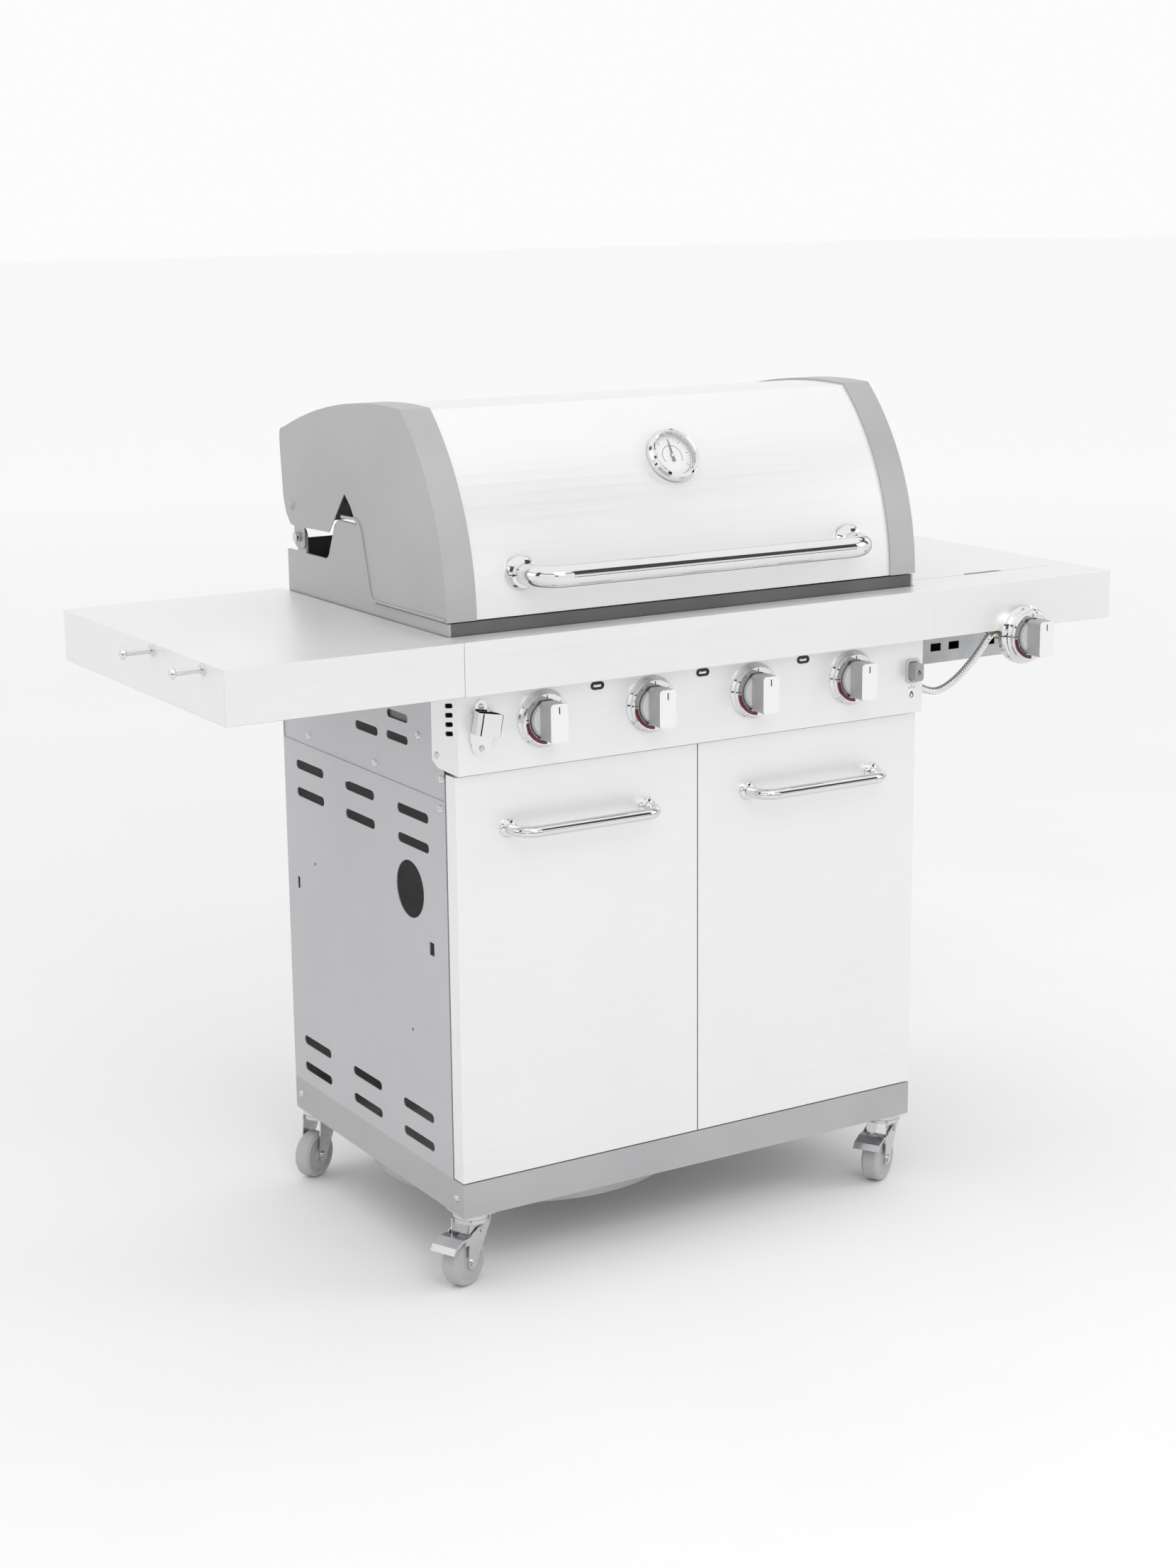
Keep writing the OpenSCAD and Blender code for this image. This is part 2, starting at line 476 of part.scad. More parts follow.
// Foot brake lever, hinged above the wheel
module brake() difference() {
  union() {
    xz(-20.4, 40.8) polygon([[-30, 73], [-30, 76], [-44, 76], [-62, 70], [-68, 61.5], [-65.5, 60], [-60, 66.5], [-44, 72.5]]);
    for (s = [-1, 1]) xz(s > 0 ? 18.4 : -20.4, 2) polygon([[4, 84], [-10, 84], [-38, 72], [-40, 66], [-30, 64], [4, 72]]);
  }
  blk([-trail - 14, -18, 56], [-trail + 26, 18, 90]);
  cyly(-2, -30, 30, 78, 2.55);
}
cast_rot = [24, 30, 30, 27];     // how far each caster is swivelled
module caster_at(i) put() translate([cast_pos[i][0], cast_pos[i][1], 0]) rotate(cast_rot[i]) children();
module fork_front_left() color([0.85, 0.85, 0.86]) caster_at(0) fork(true);
module fork_front_right() color([0.85, 0.85, 0.86]) caster_at(1) fork(true);
module fork_rear_left() color([0.85, 0.85, 0.86]) caster_at(2) fork(false);
module fork_rear_right() color([0.85, 0.85, 0.86]) caster_at(3) fork(false);
module wheel_front_left() color([0.45, 0.45, 0.46]) caster_at(0) wheel();
module wheel_front_right() color([0.45, 0.45, 0.46]) caster_at(1) wheel();
module wheel_rear_left() color([0.45, 0.45, 0.46]) caster_at(2) wheel();
module wheel_rear_right() color([0.45, 0.45, 0.46]) caster_at(3) wheel();
module brake_front_left() color([0.80, 0.80, 0.80]) caster_at(0) brake();
module brake_front_right() color([0.80, 0.80, 0.80]) caster_at(1) brake();

// ======================================================= pins and screws
door_px = cx - 9;   // door pivots
door_py = door_y + door_t / 2;
module hinge_pins() color([0.75, 0.75, 0.76]) put() {
  for (s = [-1, 1]) {
    // door pivots in the base rail and under the knob panel
    cylz(s * door_px, door_py, base_top - 6, door_z0 + 14, 3);
    cylz(s * door_px, door_py, base_top, base_top + 1.6, 6);
    cylz(s * door_px, door_py, door_z1 - 14, pan_z0, 3);
    // lid pivots
    cylx(s > 0 ? rim_x - 5 : -lid_x - 7, s > 0 ? lid_x + 7 : -rim_x + 5, lid_y, hinge_z, 4);
    cylx(s > 0 ? lid_x + 2 : -lid_x - 8, s > 0 ? lid_x + 8 : -lid_x - 2, lid_y, hinge_z, 7);
    // warming-rack leg pivots
    cylx(s > 0 ? 366 : -fire_x, s > 0 ? fire_x : -366, 0, 1000, 3);
    // side-lid pivots
    cylx(side_x + s * 105 - 22, side_x + s * 105 + 22, sl_y, sl_z, 2.5);
    for (d = [-1, 1]) blk([side_x + s * 105 + d * 18 - 3, sl_y - 1.5, shelf_z], [side_x + s * 105 + d * 18 + 3, sl_y + 6, sl_z + 4]);
    // magnetic door catches under the knob panel
    blk([s * 30 - 14, -242, pan_z0 - 22], [s * 30 + 14, -232, pan_z0 + 8]);
    blk([s * 30 - 14, -250, pan_z0 + t], [s * 30 + 14, -232, pan_z0 + t + 2]);
  }
}
module screw(r) rotate_extrude($fn = 24) polygon([[0, 0], [r, 0], [r * 0.8, r * 0.4], [r * 0.35, r * 0.55], [0, r * 0.58]]);
module screws() color([0.85, 0.85, 0.86]) put() {
  for (s = [-1, 1]) mirror([s > 0 ? 1 : 0, 0, 0]) {
    for (p = [[184, 705], [-164, 768], [-31, 705], [-229, 719]]) translate([-cx + t, p[0], p[1]]) rotate([0, -90, 0]) screw(6);
    for (p = [[-227, 678], [-250, 128], [250, 128]]) translate([-cx, p[0], p[1]]) rotate([0, -90, 0]) screw(6);
    translate([-cx - t, -222, 752]) rotate([0, -90, 0]) screw(5);
  }
  for (z = [825, 768.5]) translate([-354, pan_y - 3, z]) rotate([90, 0, 0]) screw(4.5);
  for (x = [-330, 330], z = [200, 600]) translate([x, cy - t, z]) rotate([-90, 0, 0]) screw(6);
}

// ======================================================= lid
module lid_shell(x0, x1, d, th) yz(x0, x1 - x0) polygon(concat(lid_path(d), rev(lid_path(d + th))));
g_a = 58.9;   // tilt of the gauge
module on_lid(r) translate([0, lc[0], lc[1]]) rotate([g_a, 0, 0]) translate([0, 0, r]) children();
module lid_skin() color([0.95, 0.95, 0.96]) put() difference() {
  union() {
    lid_shell(-376, 376, 3, 1.2);
    // folded front edge
    blk([-376, lc[0] - lid_front_r + 3, 936], [376, lc[0] - lid_front_r + 15, 937.2]);
  }
  on_lid(lid_front_r - 20) cylinder(r = 4.2, h = 40);
  for (s = [-1, 1]) cyly(s * handle_x, -290, -220, 992, 3);
}
module lid_cap_at(s) mirror([s > 0 ? 1 : 0, 0, 0]) {
  difference() {
    union() {
      // side plate with the cut-out for the firebox hump and the hinge tab
      yz(-lid_x, 1.2) polygon(concat(lid_path(0), [[202, 1015], [202, 990], [195, 985], [175, 985], [168, 990], [168, 1016], [87, 1018], [34, 1078], [16, 1062],
        [4, 1044], [-6, 1040], [-14, 1030], [-40, 940], [-46, 936]]));
      // rounded edge wrapping over the skin, open near the hinge
      difference() {
        lid_shell(-lid_x, -lid_x + 45, 0, 1.2);
        blk([-lid_x + 1.2, 190, 1000], [-lid_x + 50, 260, 1090]);
      }
      // inner step down to the skin
      difference() {
        lid_shell(-lid_x + 43, -lid_x + 45, 1.2, 1.8);
        blk([-lid_x, 190, 1000], [-lid_x + 50, 260, 1090]);
      }
      // pressed flange round the cut-out
      yz(-lid_x - 1.8, 1.8) polygon([[-46, 938], [-40, 940], [-14, 1030], [-6, 1040], [4, 1044], [44, 1043], [44, 1047], [2, 1048], [-9, 1044], [-18, 1033], [-44, 944], [-52, 940], [-257, 941], [-257, 938]]);
    }
    translate([0, lid_y, hinge_z]) rotate([0, 90, 0]) cylinder(r = 4.05, h = 2000, center = true);
  }
  // screw head near the back edge
  translate([-lid_x, 208, 1045]) rotate([0, -90, 0]) screw(7);
  // pin that carries the warming rack
  cylx(-lid_x + 1.2, -364, 150, 1075, 3);
}
module lid_cap_left() color([0.72, 0.72, 0.72]) put() lid_cap_at(-1);
module lid_cap_right() color([0.72, 0.72, 0.72]) put() lid_cap_at(1);

// Tube with two bent ends: half length x, stand-off y, outer radius r, inner radius q, bend radius b
module tube2(r, q) difference() { circle(r); if (q > 0) circle(q); }
module bent_bar(x, y, r, q, b) {
  for (s = [-1, 1]) mirror([s > 0 ? 1 : 0, 0, 0]) {
    translate([-x, 0, 0]) rotate([90, 0, 0]) linear_extrude(y - b) tube2(r, q);
    translate([-x + b, -y + b, 0]) rotate([0, 0, 180]) rotate_extrude(angle = 90) translate([b, 0]) tube2(r, q);
  }
  translate([-x + b, -y, 0]) rotate([90, 0, 90]) linear_extrude(2 * (x - b)) tube2(r, q);
}
module lid_handle() color([0.86, 0.86, 0.88]) put() {
  ys = lc[0] - sqrt(pow(lid_front_r - 3, 2) - pow(992 - lc[1], 2));
  translate([0, ys - 2.6, 992]) bent_bar(handle_x, 56.4, handle_r, handle_r - 1.8, 40);
  // round end bezels seated on the skin
  for (s = [-1, 1]) difference() {
    translate([s * handle_x, ys + 1, 992]) rotate([90, 0, 0]) rotate_extrude() polygon([[handle_r, 0], [24, 0], [24, 4], [22, 8], [19, 12], [handle_r, 13]]);
    yz(-400, 800) polygon(concat(lid_path(3), [[200, 936]]));
  }
}

module gauge_housing() color([0.88, 0.88, 0.90]) put() on_lid(lid_front_r - 3) {
  rotate_extrude($fn = 72) polygon([[0, 0], [38, 0], [39, 3], [39, 9], [37, 13], [34.5, 15], [32.5, 14], [32, 10], [32, 3], [0, 3]]);
  translate([0, 0, -46]) cylinder(r = 4, h = 46.1);
  cylinder(r = 1, h = 6);
}
module gauge_glass() color([0.9, 0.95, 1, 0.3]) put() on_lid(lid_front_r - 3) translate([0, 0, 8.5]) cylinder(r = 32, h = 1.5);
module gauge_needle() color([0.12, 0.12, 0.12]) put() on_lid(lid_front_r - 3) translate([0, 0, 4.6]) difference() {
  union() { linear_extrude(0.8) polygon([[-2.6, -9], [2.6, -9], [1.6, 0], [0.5, 23], [-0.5, 23], [-1.6, 0]]); cylinder(r = 3, h = 0.8); }
  translate([0, 0, -1]) cylinder(r = 1.05, h = 4);
}

// Warming rack on the lid pins, with legs from the firebox.
// Lid hinge, rack pin, rack leg top and leg foot are the corners of a parallelogram.
rk = [150, 1075];                          // rack pin on the lid
lg = [0, 1000];                            // leg pivot on the firebox
lt = lg + rk - [lid_y, hinge_z];           // top of the legs
module warming_rack() color([0.80, 0.80, 0.80]) put() {
  difference() {
    union() {
      // end plates carried on the lid pins and the legs
      for (s = [-1, 1]) yz(s > 0 ? 368 : -370, 2) polygon([[160, 1063], [160, 1084], [-45, 1083], [-45, 1063]]);
      for (k = [0 : 9]) cylx(-369, 369, -38 + k * 20.8, 1068, 2.2);
      for (x = [-240, -80, 80, 240]) cyly(x, -38, 149.2, 1064.6, 2.2);
    }
    for (s = [-1, 1]) cylx(s * 370 - 4, s * 370 + 4, rk[0], rk[1], 3.05);
  }
  for (s = [-1, 1]) cylx(s > 0 ? 368 : -374.5, s > 0 ? 374.5 : -368, lt[0], lt[1], 2.5);
}
module rack_legs() color([0.80, 0.80, 0.80]) put() {
  for (s = [-1, 1]) mirror([s > 0 ? 1 : 0, 0, 0]) difference() {
    yz(-373.6, 2) polygon([[8, 1002], [-27, 1077], [-35, 1082], [-43, 1076], [-42, 1069], [-8, 996], [0, 991]]);
    cylx(-376, -370, lg[0], lg[1], 3.05);
    cylx(-376, -370, lt[0], lt[1], 3.1);
  }
  cylx(-372, 372, -16, 1034, 2.5);
}

// ======================================================= doors
module door_at(s) mirror([s > 0 ? 1 : 0, 0, 0]) difference() {
  union() {
    difference() {
      blk([-cx, door_y, door_z0], [-1, door_y + door_t, door_z1]);
      blk([-cx + 1.2, door_y + 1.2, door_z0 + 1.2], [-2.2, door_y + door_t + 1, door_z1 - 1.2]);
    }
    // return lip round the back
    difference() {
      blk([-cx + 0.5, door_y + door_t - 1.2, door_z0 + 0.5], [-1.5, door_y + door_t, door_z1 - 0.5]);
      blk([-cx + 16, door_y, door_z0 + 16], [-17, door_y + door_t + 1, door_z1 - 16]);
    }
    // pivot blocks in the corners
    for (z = [door_z0 + 0.5, door_z1 - 20.5]) blk([-cx + 0.8, door_y + 0.8, z], [-cx + 19, door_y + door_t - 0.6, z + 20]);
    // strike plate for the magnet
    blk([-50, door_y + door_t - 1.2, door_z1 - 26], [-10, door_y + door_t + 1.2, door_z1 - 6]);
  }
  cylz(-door_px, door_py, door_z0 - 1, door_z0 + 17, 3.05);
  cylz(-door_px, door_py, door_z1 - 17, door_z1 + 1, 3.05);
  for (x = [-307, -85]) cyly(x, door_y - 1, door_y + 2, 650, 2.5);
}
module door_left() color([0.94, 0.94, 0.95]) put() door_at(-1);
module door_right() color([0.94, 0.94, 0.95]) put() door_at(1);
module door_handle() { translate([0, 0, 650]) {
    bent_bar(111, 40, 8, 6.5, 26);
    for (s = [-1, 1]) translate([s * 111, 0, 0]) rotate([90, 0, 0]) rotate_extrude() polygon([[8, 0], [13, 0], [13, 2], [11, 4], [8, 5]]);
} }
module door_handle_left() color([0.86, 0.86, 0.88]) put() translate([-196, door_y, 0]) door_handle();
module door_handle_right() color([0.86, 0.86, 0.88]) put() translate([196, door_y, 0]) door_handle();

// ======================================================= knobs
// Stem with its pin end in the valve; the panel face is at y = 0
module stem(off) translate([0, -off, 0]) { cyly(0, -34, 21 + off, 0, stem_r); cyly(0, 0.5 + off, 2.5 + off, 0, stem_r + 2.5); }
// Knob: round skirt inside the ring and a tall grip bar
module knob(off) translate([0, -off, 0]) difference() {
  union() {
    rotate([90, 0, 0]) rotate_extrude($fn = 72) polygon([[0, 9], [skirt_r - 1, 9], [skirt_r, 11], [skirt_r, 14], [skirt_r - 2, 16], [0, 16]]);
    xz(-ring_t - grip_out, grip_out - 3.9) rrect(grip_w, grip_h, 5);
  }
  cyly(0, -34.5, -5, 0, stem_r + 0.05);
  // index groove at the top of the grip
  blk([-1, -ring_t - grip_out - 1, grip_h / 2 - 14], [1, -ring_t - grip_out + 0.8, grip_h / 2 - 4]);
}
module knob_at(i) put() translate([knob_xs[i], pan_y, knob_z]) children();
module side_knob_at() put() translate([sknob_x, fas_y, sknob_z]) children();
module knob_1() color([0.93, 0.93, 0.94]) knob_at(0) knob(0);
module knob_2() color([0.93, 0.93, 0.94]) knob_at(1) knob(0);
module knob_3() color([0.93, 0.93, 0.94]) knob_at(2) knob(0);
module knob_4() color([0.93, 0.93, 0.94]) knob_at(3) knob(0);
module side_knob() color([0.93, 0.93, 0.94]) side_knob_at() knob(drum_t);
module stem_1() color([0.75, 0.75, 0.75]) knob_at(0) stem(0);
module stem_2() color([0.75, 0.75, 0.75]) knob_at(1) stem(0);
module stem_3() color([0.75, 0.75, 0.75]) knob_at(2) stem(0);
module stem_4() color([0.75, 0.75, 0.75]) knob_at(3) stem(0);
module side_stem() color([0.75, 0.75, 0.75]) side_knob_at() stem(drum_t);

module igniter_button() color([0.35, 0.35, 0.37]) put() translate([369, 0, 796]) {
  xz(pan_y - 18, 30) rrect(15.6, 25.6, 4);
  xz(pan_y + 6, 2) rrect(20, 30, 4);
}

base_pan();
left_side_panel();
right_side_panel();
back_panel();
control_panel();
left_shelf();
right_shelf();
tool_hooks();
knob_bezels();
igniter_module();
bottle_opener();
gas_manifold();
gas_valves();
burners();
emitters();
grates();
firebox();
side_burner_box();
side_burner_head();
side_burner_trivet();
side_burner_hose();
caster_mounts();
hinge_pins();
screws();
lid_skin();
lid_cap_left();
lid_cap_right();
lid_handle();
gauge_housing();
gauge_glass();
gauge_needle();
warming_rack();
rack_legs();
side_burner_lid();
door_left();
door_right();
door_handle_left();
door_handle_right();
knob_1();
knob_2();
knob_3();
knob_4();
side_knob();
stem_1();
stem_2();
stem_3();
stem_4();
side_stem();
igniter_button();
grease_tray();
fork_front_left();
fork_front_right();
fork_rear_left();
fork_rear_right();
wheel_front_left();
wheel_front_right();
wheel_rear_left();
wheel_rear_right();
brake_front_left();
brake_front_right();
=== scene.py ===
import bpy, bmesh, math
from mathutils import Vector, Matrix

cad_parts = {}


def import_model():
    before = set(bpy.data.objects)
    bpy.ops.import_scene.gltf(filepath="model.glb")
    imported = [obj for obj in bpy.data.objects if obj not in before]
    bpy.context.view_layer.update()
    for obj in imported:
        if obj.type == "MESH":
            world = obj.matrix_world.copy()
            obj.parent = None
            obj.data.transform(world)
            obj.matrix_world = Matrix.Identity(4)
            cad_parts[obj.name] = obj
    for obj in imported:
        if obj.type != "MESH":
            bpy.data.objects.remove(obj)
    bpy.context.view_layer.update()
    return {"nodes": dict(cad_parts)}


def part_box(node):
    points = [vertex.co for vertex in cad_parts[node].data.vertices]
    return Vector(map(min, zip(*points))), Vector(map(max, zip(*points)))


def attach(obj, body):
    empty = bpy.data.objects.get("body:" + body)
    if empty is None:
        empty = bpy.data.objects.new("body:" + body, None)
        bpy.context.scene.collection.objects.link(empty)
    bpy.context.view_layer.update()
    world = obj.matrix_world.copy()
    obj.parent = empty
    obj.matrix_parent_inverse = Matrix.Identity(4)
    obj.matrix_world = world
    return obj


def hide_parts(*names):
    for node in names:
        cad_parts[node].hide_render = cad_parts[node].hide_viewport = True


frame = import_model()
N = frame["nodes"]


# ---------------------------------------------------------------- places
# The grill's own middle: the base rail is symmetric about it.
lo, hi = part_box("base_pan")
OX, OY = (lo.x + hi.x) / 2, (lo.y + hi.y) / 2


def C(x, y, z):
    """millimetres from the cart's middle to metres in the row frame"""
    return Vector((OX + x / 1000, OY + y / 1000, z / 1000))


# ---------------------------------------------------------------- camera
def camera():
    pos = C(-1980.9, -3234.4, 1508.7)
    yaw, pitch, roll = math.radians(31.504), math.radians(12.849), math.radians(-0.504)
    f, cx, cy = 3665.9, 843.7, 1082.6
    fwd = Vector((math.sin(yaw) * math.cos(pitch), math.cos(yaw) * math.cos(pitch), -math.sin(pitch)))
    right = Vector((math.cos(yaw), -math.sin(yaw), 0.0))
    up = right.cross(fwd)
    r2 = right * math.cos(roll) + up * math.sin(roll)
    u2 = up * math.cos(roll) - right * math.sin(roll)
    cam = bpy.data.cameras.new("camera")
    cam.sensor_width = 36.0
    cam.sensor_height = 36.0
    cam.sensor_fit = "AUTO"
    cam.lens = f * 36.0 / 2212.0
    cam.shift_x = (829.5 - cx) / 2212.0
    cam.shift_y = (cy - 1106.0) / 2212.0
    cam.clip_start, cam.clip_end = 0.05, 60
    o = bpy.data.objects.new("camera", cam)
    bpy.context.scene.collection.objects.link(o)
    m = Matrix((r2, u2, -fwd)).transposed().to_4x4()
    m.translation = pos
    o.matrix_world = m
    bpy.context.scene.camera = o
    return o


camera()

# ---------------------------------------------------------------- node helpers
class Mat:
    def __init__(self, name):
        self.m = bpy.data.materials.new(name)
        self.m.use_nodes = True
        self.t = self.m.node_tree
        self.b = self.t.nodes["Principled BSDF"]
        tc = self.t.nodes.new("ShaderNodeTexCoord")
        self.obj = tc.outputs["Object"]

    def n(self, kind, **kw):
        x = self.t.nodes.new(kind)
        for k, v in kw.items():
            setattr(x, k, v)
        return x

    def link(self, a, b):
        self.t.links.new(a, b)

    def mapping(self, scale, rot=(0, 0, 0)):
        x = self.n("ShaderNodeMapping")
        x.inputs["Scale"].default_value = scale
        x.inputs["Rotation"].default_value = rot
        self.link(self.obj, x.inputs["Vector"])
        return x.outputs["Vector"]

    def noise(self, vec, scale, detail=4.0, rough=0.6):
        x = self.n("ShaderNodeTexNoise")
        x.inputs["Scale"].default_value = scale
        x.inputs["Detail"].default_value = detail
        x.inputs["Roughness"].default_value = rough
        self.link(vec, x.inputs["Vector"])
        return x.outputs["Fac"]

    def ramp(self, fac, stops):
        x = self.n("ShaderNodeValToRGB")
        e = x.color_ramp.elements
        while len(e) > 1:
            e.remove(e[-1])
        e[0].position, e[0].color = stops[0][0], (*stops[0][1], 1)
        for p, c in stops[1:]:
            s = e.new(p)
            s.color = (*c, 1)
        self.link(fac, x.inputs["Fac"])
        return x.outputs["Color"]

    def range(self, fac, a, b, lo=0.3, hi=0.7):
        x = self.n("ShaderNodeMapRange")
        x.inputs["From Min"].default_value = lo
        x.inputs["From Max"].default_value = hi
        x.inputs["To Min"].default_value = a
        x.inputs["To Max"].default_value = b
        self.link(fac, x.inputs["Value"])
        return x.outputs["Result"]

    def bump(self, height, strength, dist):
        x = self.n("ShaderNodeBump")
        x.inputs["Strength"].default_value = strength
        x.inputs["Distance"].default_value = dist
        self.link(height, x.inputs["Height"])
        self.link(x.outputs["Normal"], self.b.inputs["Normal"])

    def set(self, **kw):
        for k, v in kw.items():
            self.b.inputs[k.replace("_", " ")].default_value = v


def g(v, tint=(1, 1, 1)):
    return (v * tint[0], v * tint[1], v * tint[2])


def brushed(name, lo_v, hi_v, tint=(1, 1, 1), metallic=0.75, r0=0.30, r1=0.42, along="X", blot=0.03, bump=0.06):
    """Rolled and brushed sheet: long fine scratches along one axis, over soft large clouds."""
    m = Mat(name)
    sc = {"X": (6, 900, 900), "Y": (900, 6, 900), "Z": (900, 900, 6)}[along]
    fine = m.noise(m.mapping(sc), 1.0, 3.0, 0.7)
    mid = m.noise(m.mapping(tuple(s * 0.22 for s in sc)), 1.0, 2.0, 0.6)
    cloud = m.noise(m.mapping((1, 1, 1)), 3.5, 3.0, 0.5)
    mix = m.n("ShaderNodeMix", data_type="FLOAT")
    mix.inputs["Factor"].default_value = 0.45
    m.link(fine, mix.inputs["A"])
    m.link(mid, mix.inputs["B"])
    col = m.ramp(mix.outputs["Result"], [(0.30, g(lo_v, tint)), (0.70, g(hi_v, tint))])
    cl = m.ramp(cloud, [(0.35, g(1.0 - blot)), (0.65, g(1.0))])
    mul = m.n("ShaderNodeMix", data_type="RGBA", blend_type="MULTIPLY")
    mul.inputs["Factor"].default_value = 1.0
    m.link(col, mul.inputs["A"])
    m.link(cl, mul.inputs["B"])
    m.link(mul.outputs["Result"], m.b.inputs["Base Color"])
    m.link(m.range(mix.outputs["Result"], r0, r1), m.b.inputs["Roughness"])
    m.bump(fine, bump, 0.0002)
    m.set(Metallic=metallic)
    return m.m


def paint(name, c0, c1, r0=0.35, r1=0.5, metallic=0.0, grain=900.0, bump=0.08, coat=0.0, cloud_scale=5.0, dist=0.0003):
    """Sprayed or moulded finish: a fine orange-peel skin over soft colour clouds."""
    m = Mat(name)
    peel = m.noise(m.mapping((1, 1, 1)), grain, 2.0, 0.5)
    cloud = m.noise(m.mapping((1, 1, 1)), cloud_scale, 4.0, 0.55)
    m.link(m.ramp(cloud, [(0.32, c0), (0.68, c1)]), m.b.inputs["Base Color"])
    m.link(m.range(cloud, r0, r1), m.b.inputs["Roughness"])
    m.bump(peel, bump, dist)
    m.set(Metallic=metallic)
    if coat:
        m.set(Coat_Weight=coat, Coat_Roughness=0.12)
    return m.m


def chrome(name, v=0.86, r0=0.04, r1=0.10, tint=(1, 1, 1.01)):
    """Plated and polished metal: a clean mirror with faint wiping marks."""
    m = Mat(name)
    wipe = m.noise(m.mapping((30, 160, 160)), 1.0, 4.0, 0.6)
    cloud = m.noise(m.mapping((1, 1, 1)), 14.0, 3.0, 0.5)
    m.link(m.ramp(cloud, [(0.3, g(v * 0.96, tint)), (0.7, g(v, tint))]), m.b.inputs["Base Color"])
    m.link(m.range(wipe, r0, r1), m.b.inputs["Roughness"])
    m.bump(wipe, 0.02, 0.0002)
    m.set(Metallic=1.0)
    return m.m


def speckle(name, base, fleck, scale=700.0, rough=0.5, bump=0.35, metallic=0.0):
    """Porcelain-coated or cast iron: a pitted dark skin with small paler flecks."""
    m = Mat(name)
    a = m.noise(m.mapping((1, 1, 1)), scale, 3.0, 0.7)
    c = m.noise(m.mapping((1, 1, 1)), 18.0, 4.0, 0.6)
    m.link(m.ramp(a, [(0.45, base), (0.72, fleck)]), m.b.inputs["Base Color"])
    m.link(m.range(c, rough - 0.12, rough + 0.12), m.b.inputs["Roughness"])
    m.bump(a, bump, 0.0004)
    m.set(Metallic=metallic)
    return m.m


# ---------------------------------------------------------------- materials
M = {}
M["sheet"] = brushed("stainless_sheet", 0.835, 0.865, (1, 1, 1.006), metallic=0.55, r0=0.32, r1=0.44, blot=0.02, bump=0.03)
M["lid"] = brushed("lid_sheet", 0.855, 0.875, (1, 1, 1.002), metallic=0.5, r0=0.34, r1=0.44, blot=0.015, bump=0.02)
M["side"] = paint("cart_enamel", (0.49, 0.49, 0.505), (0.53, 0.53, 0.545), 0.38, 0.5, metallic=0.25, grain=1200, bump=0.07)
M["back"] = paint("back_enamel", (0.49, 0.49, 0.505), (0.53, 0.53, 0.545), 0.4, 0.52, metallic=0.25, grain=1200, bump=0.07)
M["rail"] = paint("rail_enamel", (0.40, 0.40, 0.41), (0.46, 0.46, 0.47), 0.38, 0.5, metallic=0.2, grain=1100, bump=0.08)
M["cap"] = paint("cap_coating", (0.42, 0.42, 0.42), (0.47, 0.47, 0.47), 0.34, 0.46, metallic=0.25, grain=1500, bump=0.06)
M["chrome"] = chrome("chrome_plate", 0.76, 0.03, 0.08)
M["zinc"] = chrome("zinc_plate", 0.66, 0.16, 0.3, (1, 1, 1.02))


def knob_with_painted_side_shade():
    """Satin metal on the faces turned to the front; the other faces are a duller non-metal finish, painted darker grey
    as shade on the grip's sides.
    """
    m = Mat("knob_satin_painted_side_shade")
    fine = m.noise(m.mapping((900, 900, 8)), 1.0, 3.0, 0.7)
    cloud = m.noise(m.mapping((1, 1, 1)), 25.0, 3.0, 0.5)
    tc = m.n("ShaderNodeTexCoord")
    sp = m.n("ShaderNodeSeparateXYZ")
    m.link(tc.outputs["Normal"], sp.inputs["Vector"])
    front = m.range(sp.outputs["Y"], 1.0, 0.0, -0.92, -0.72)
    pale = m.ramp(fine, [(0.30, (0.86, 0.86, 0.86)), (0.70, (0.91, 0.91, 0.91))])
    # faces not turned to the front are coloured darker: painted shade on the sides of the grip
    grey = m.ramp(cloud, [(0.32, (0.36, 0.36, 0.365)), (0.68, (0.42, 0.42, 0.425))])
    mx = m.n("ShaderNodeMix", data_type="RGBA")
    m.link(front, mx.inputs["Factor"])
    m.link(grey, mx.inputs["A"])
    m.link(pale, mx.inputs["B"])
    m.link(mx.outputs["Result"], m.b.inputs["Base Color"])
    m.link(m.range(front, 0.42, 0.30, 0.0, 1.0), m.b.inputs["Roughness"])
    m.link(m.range(front, 0.05, 0.5, 0.0, 1.0), m.b.inputs["Metallic"])
    m.bump(fine, 0.04, 0.0002)
    return m.m


M["knob"] = knob_with_painted_side_shade()
M["stem"] = brushed("stem_steel", 0.6, 0.7, (1, 1, 1), metallic=0.9, r0=0.25, r1=0.35, along="Y")
M["brass"] = brushed("valve_brass", 0.62, 0.74, (1.0, 0.82, 0.48), metallic=0.95, r0=0.26, r1=0.4, along="Y")
M["pipe"] = brushed("bare_pipe", 0.55, 0.68, (1, 1, 1.02), metallic=0.85, r0=0.3, r1=0.42)
M["burner"] = brushed("burner_steel", 0.5, 0.66, (1, 0.985, 0.96), metallic=0.9, r0=0.3, r1=0.45, along="Y", blot=0.12)


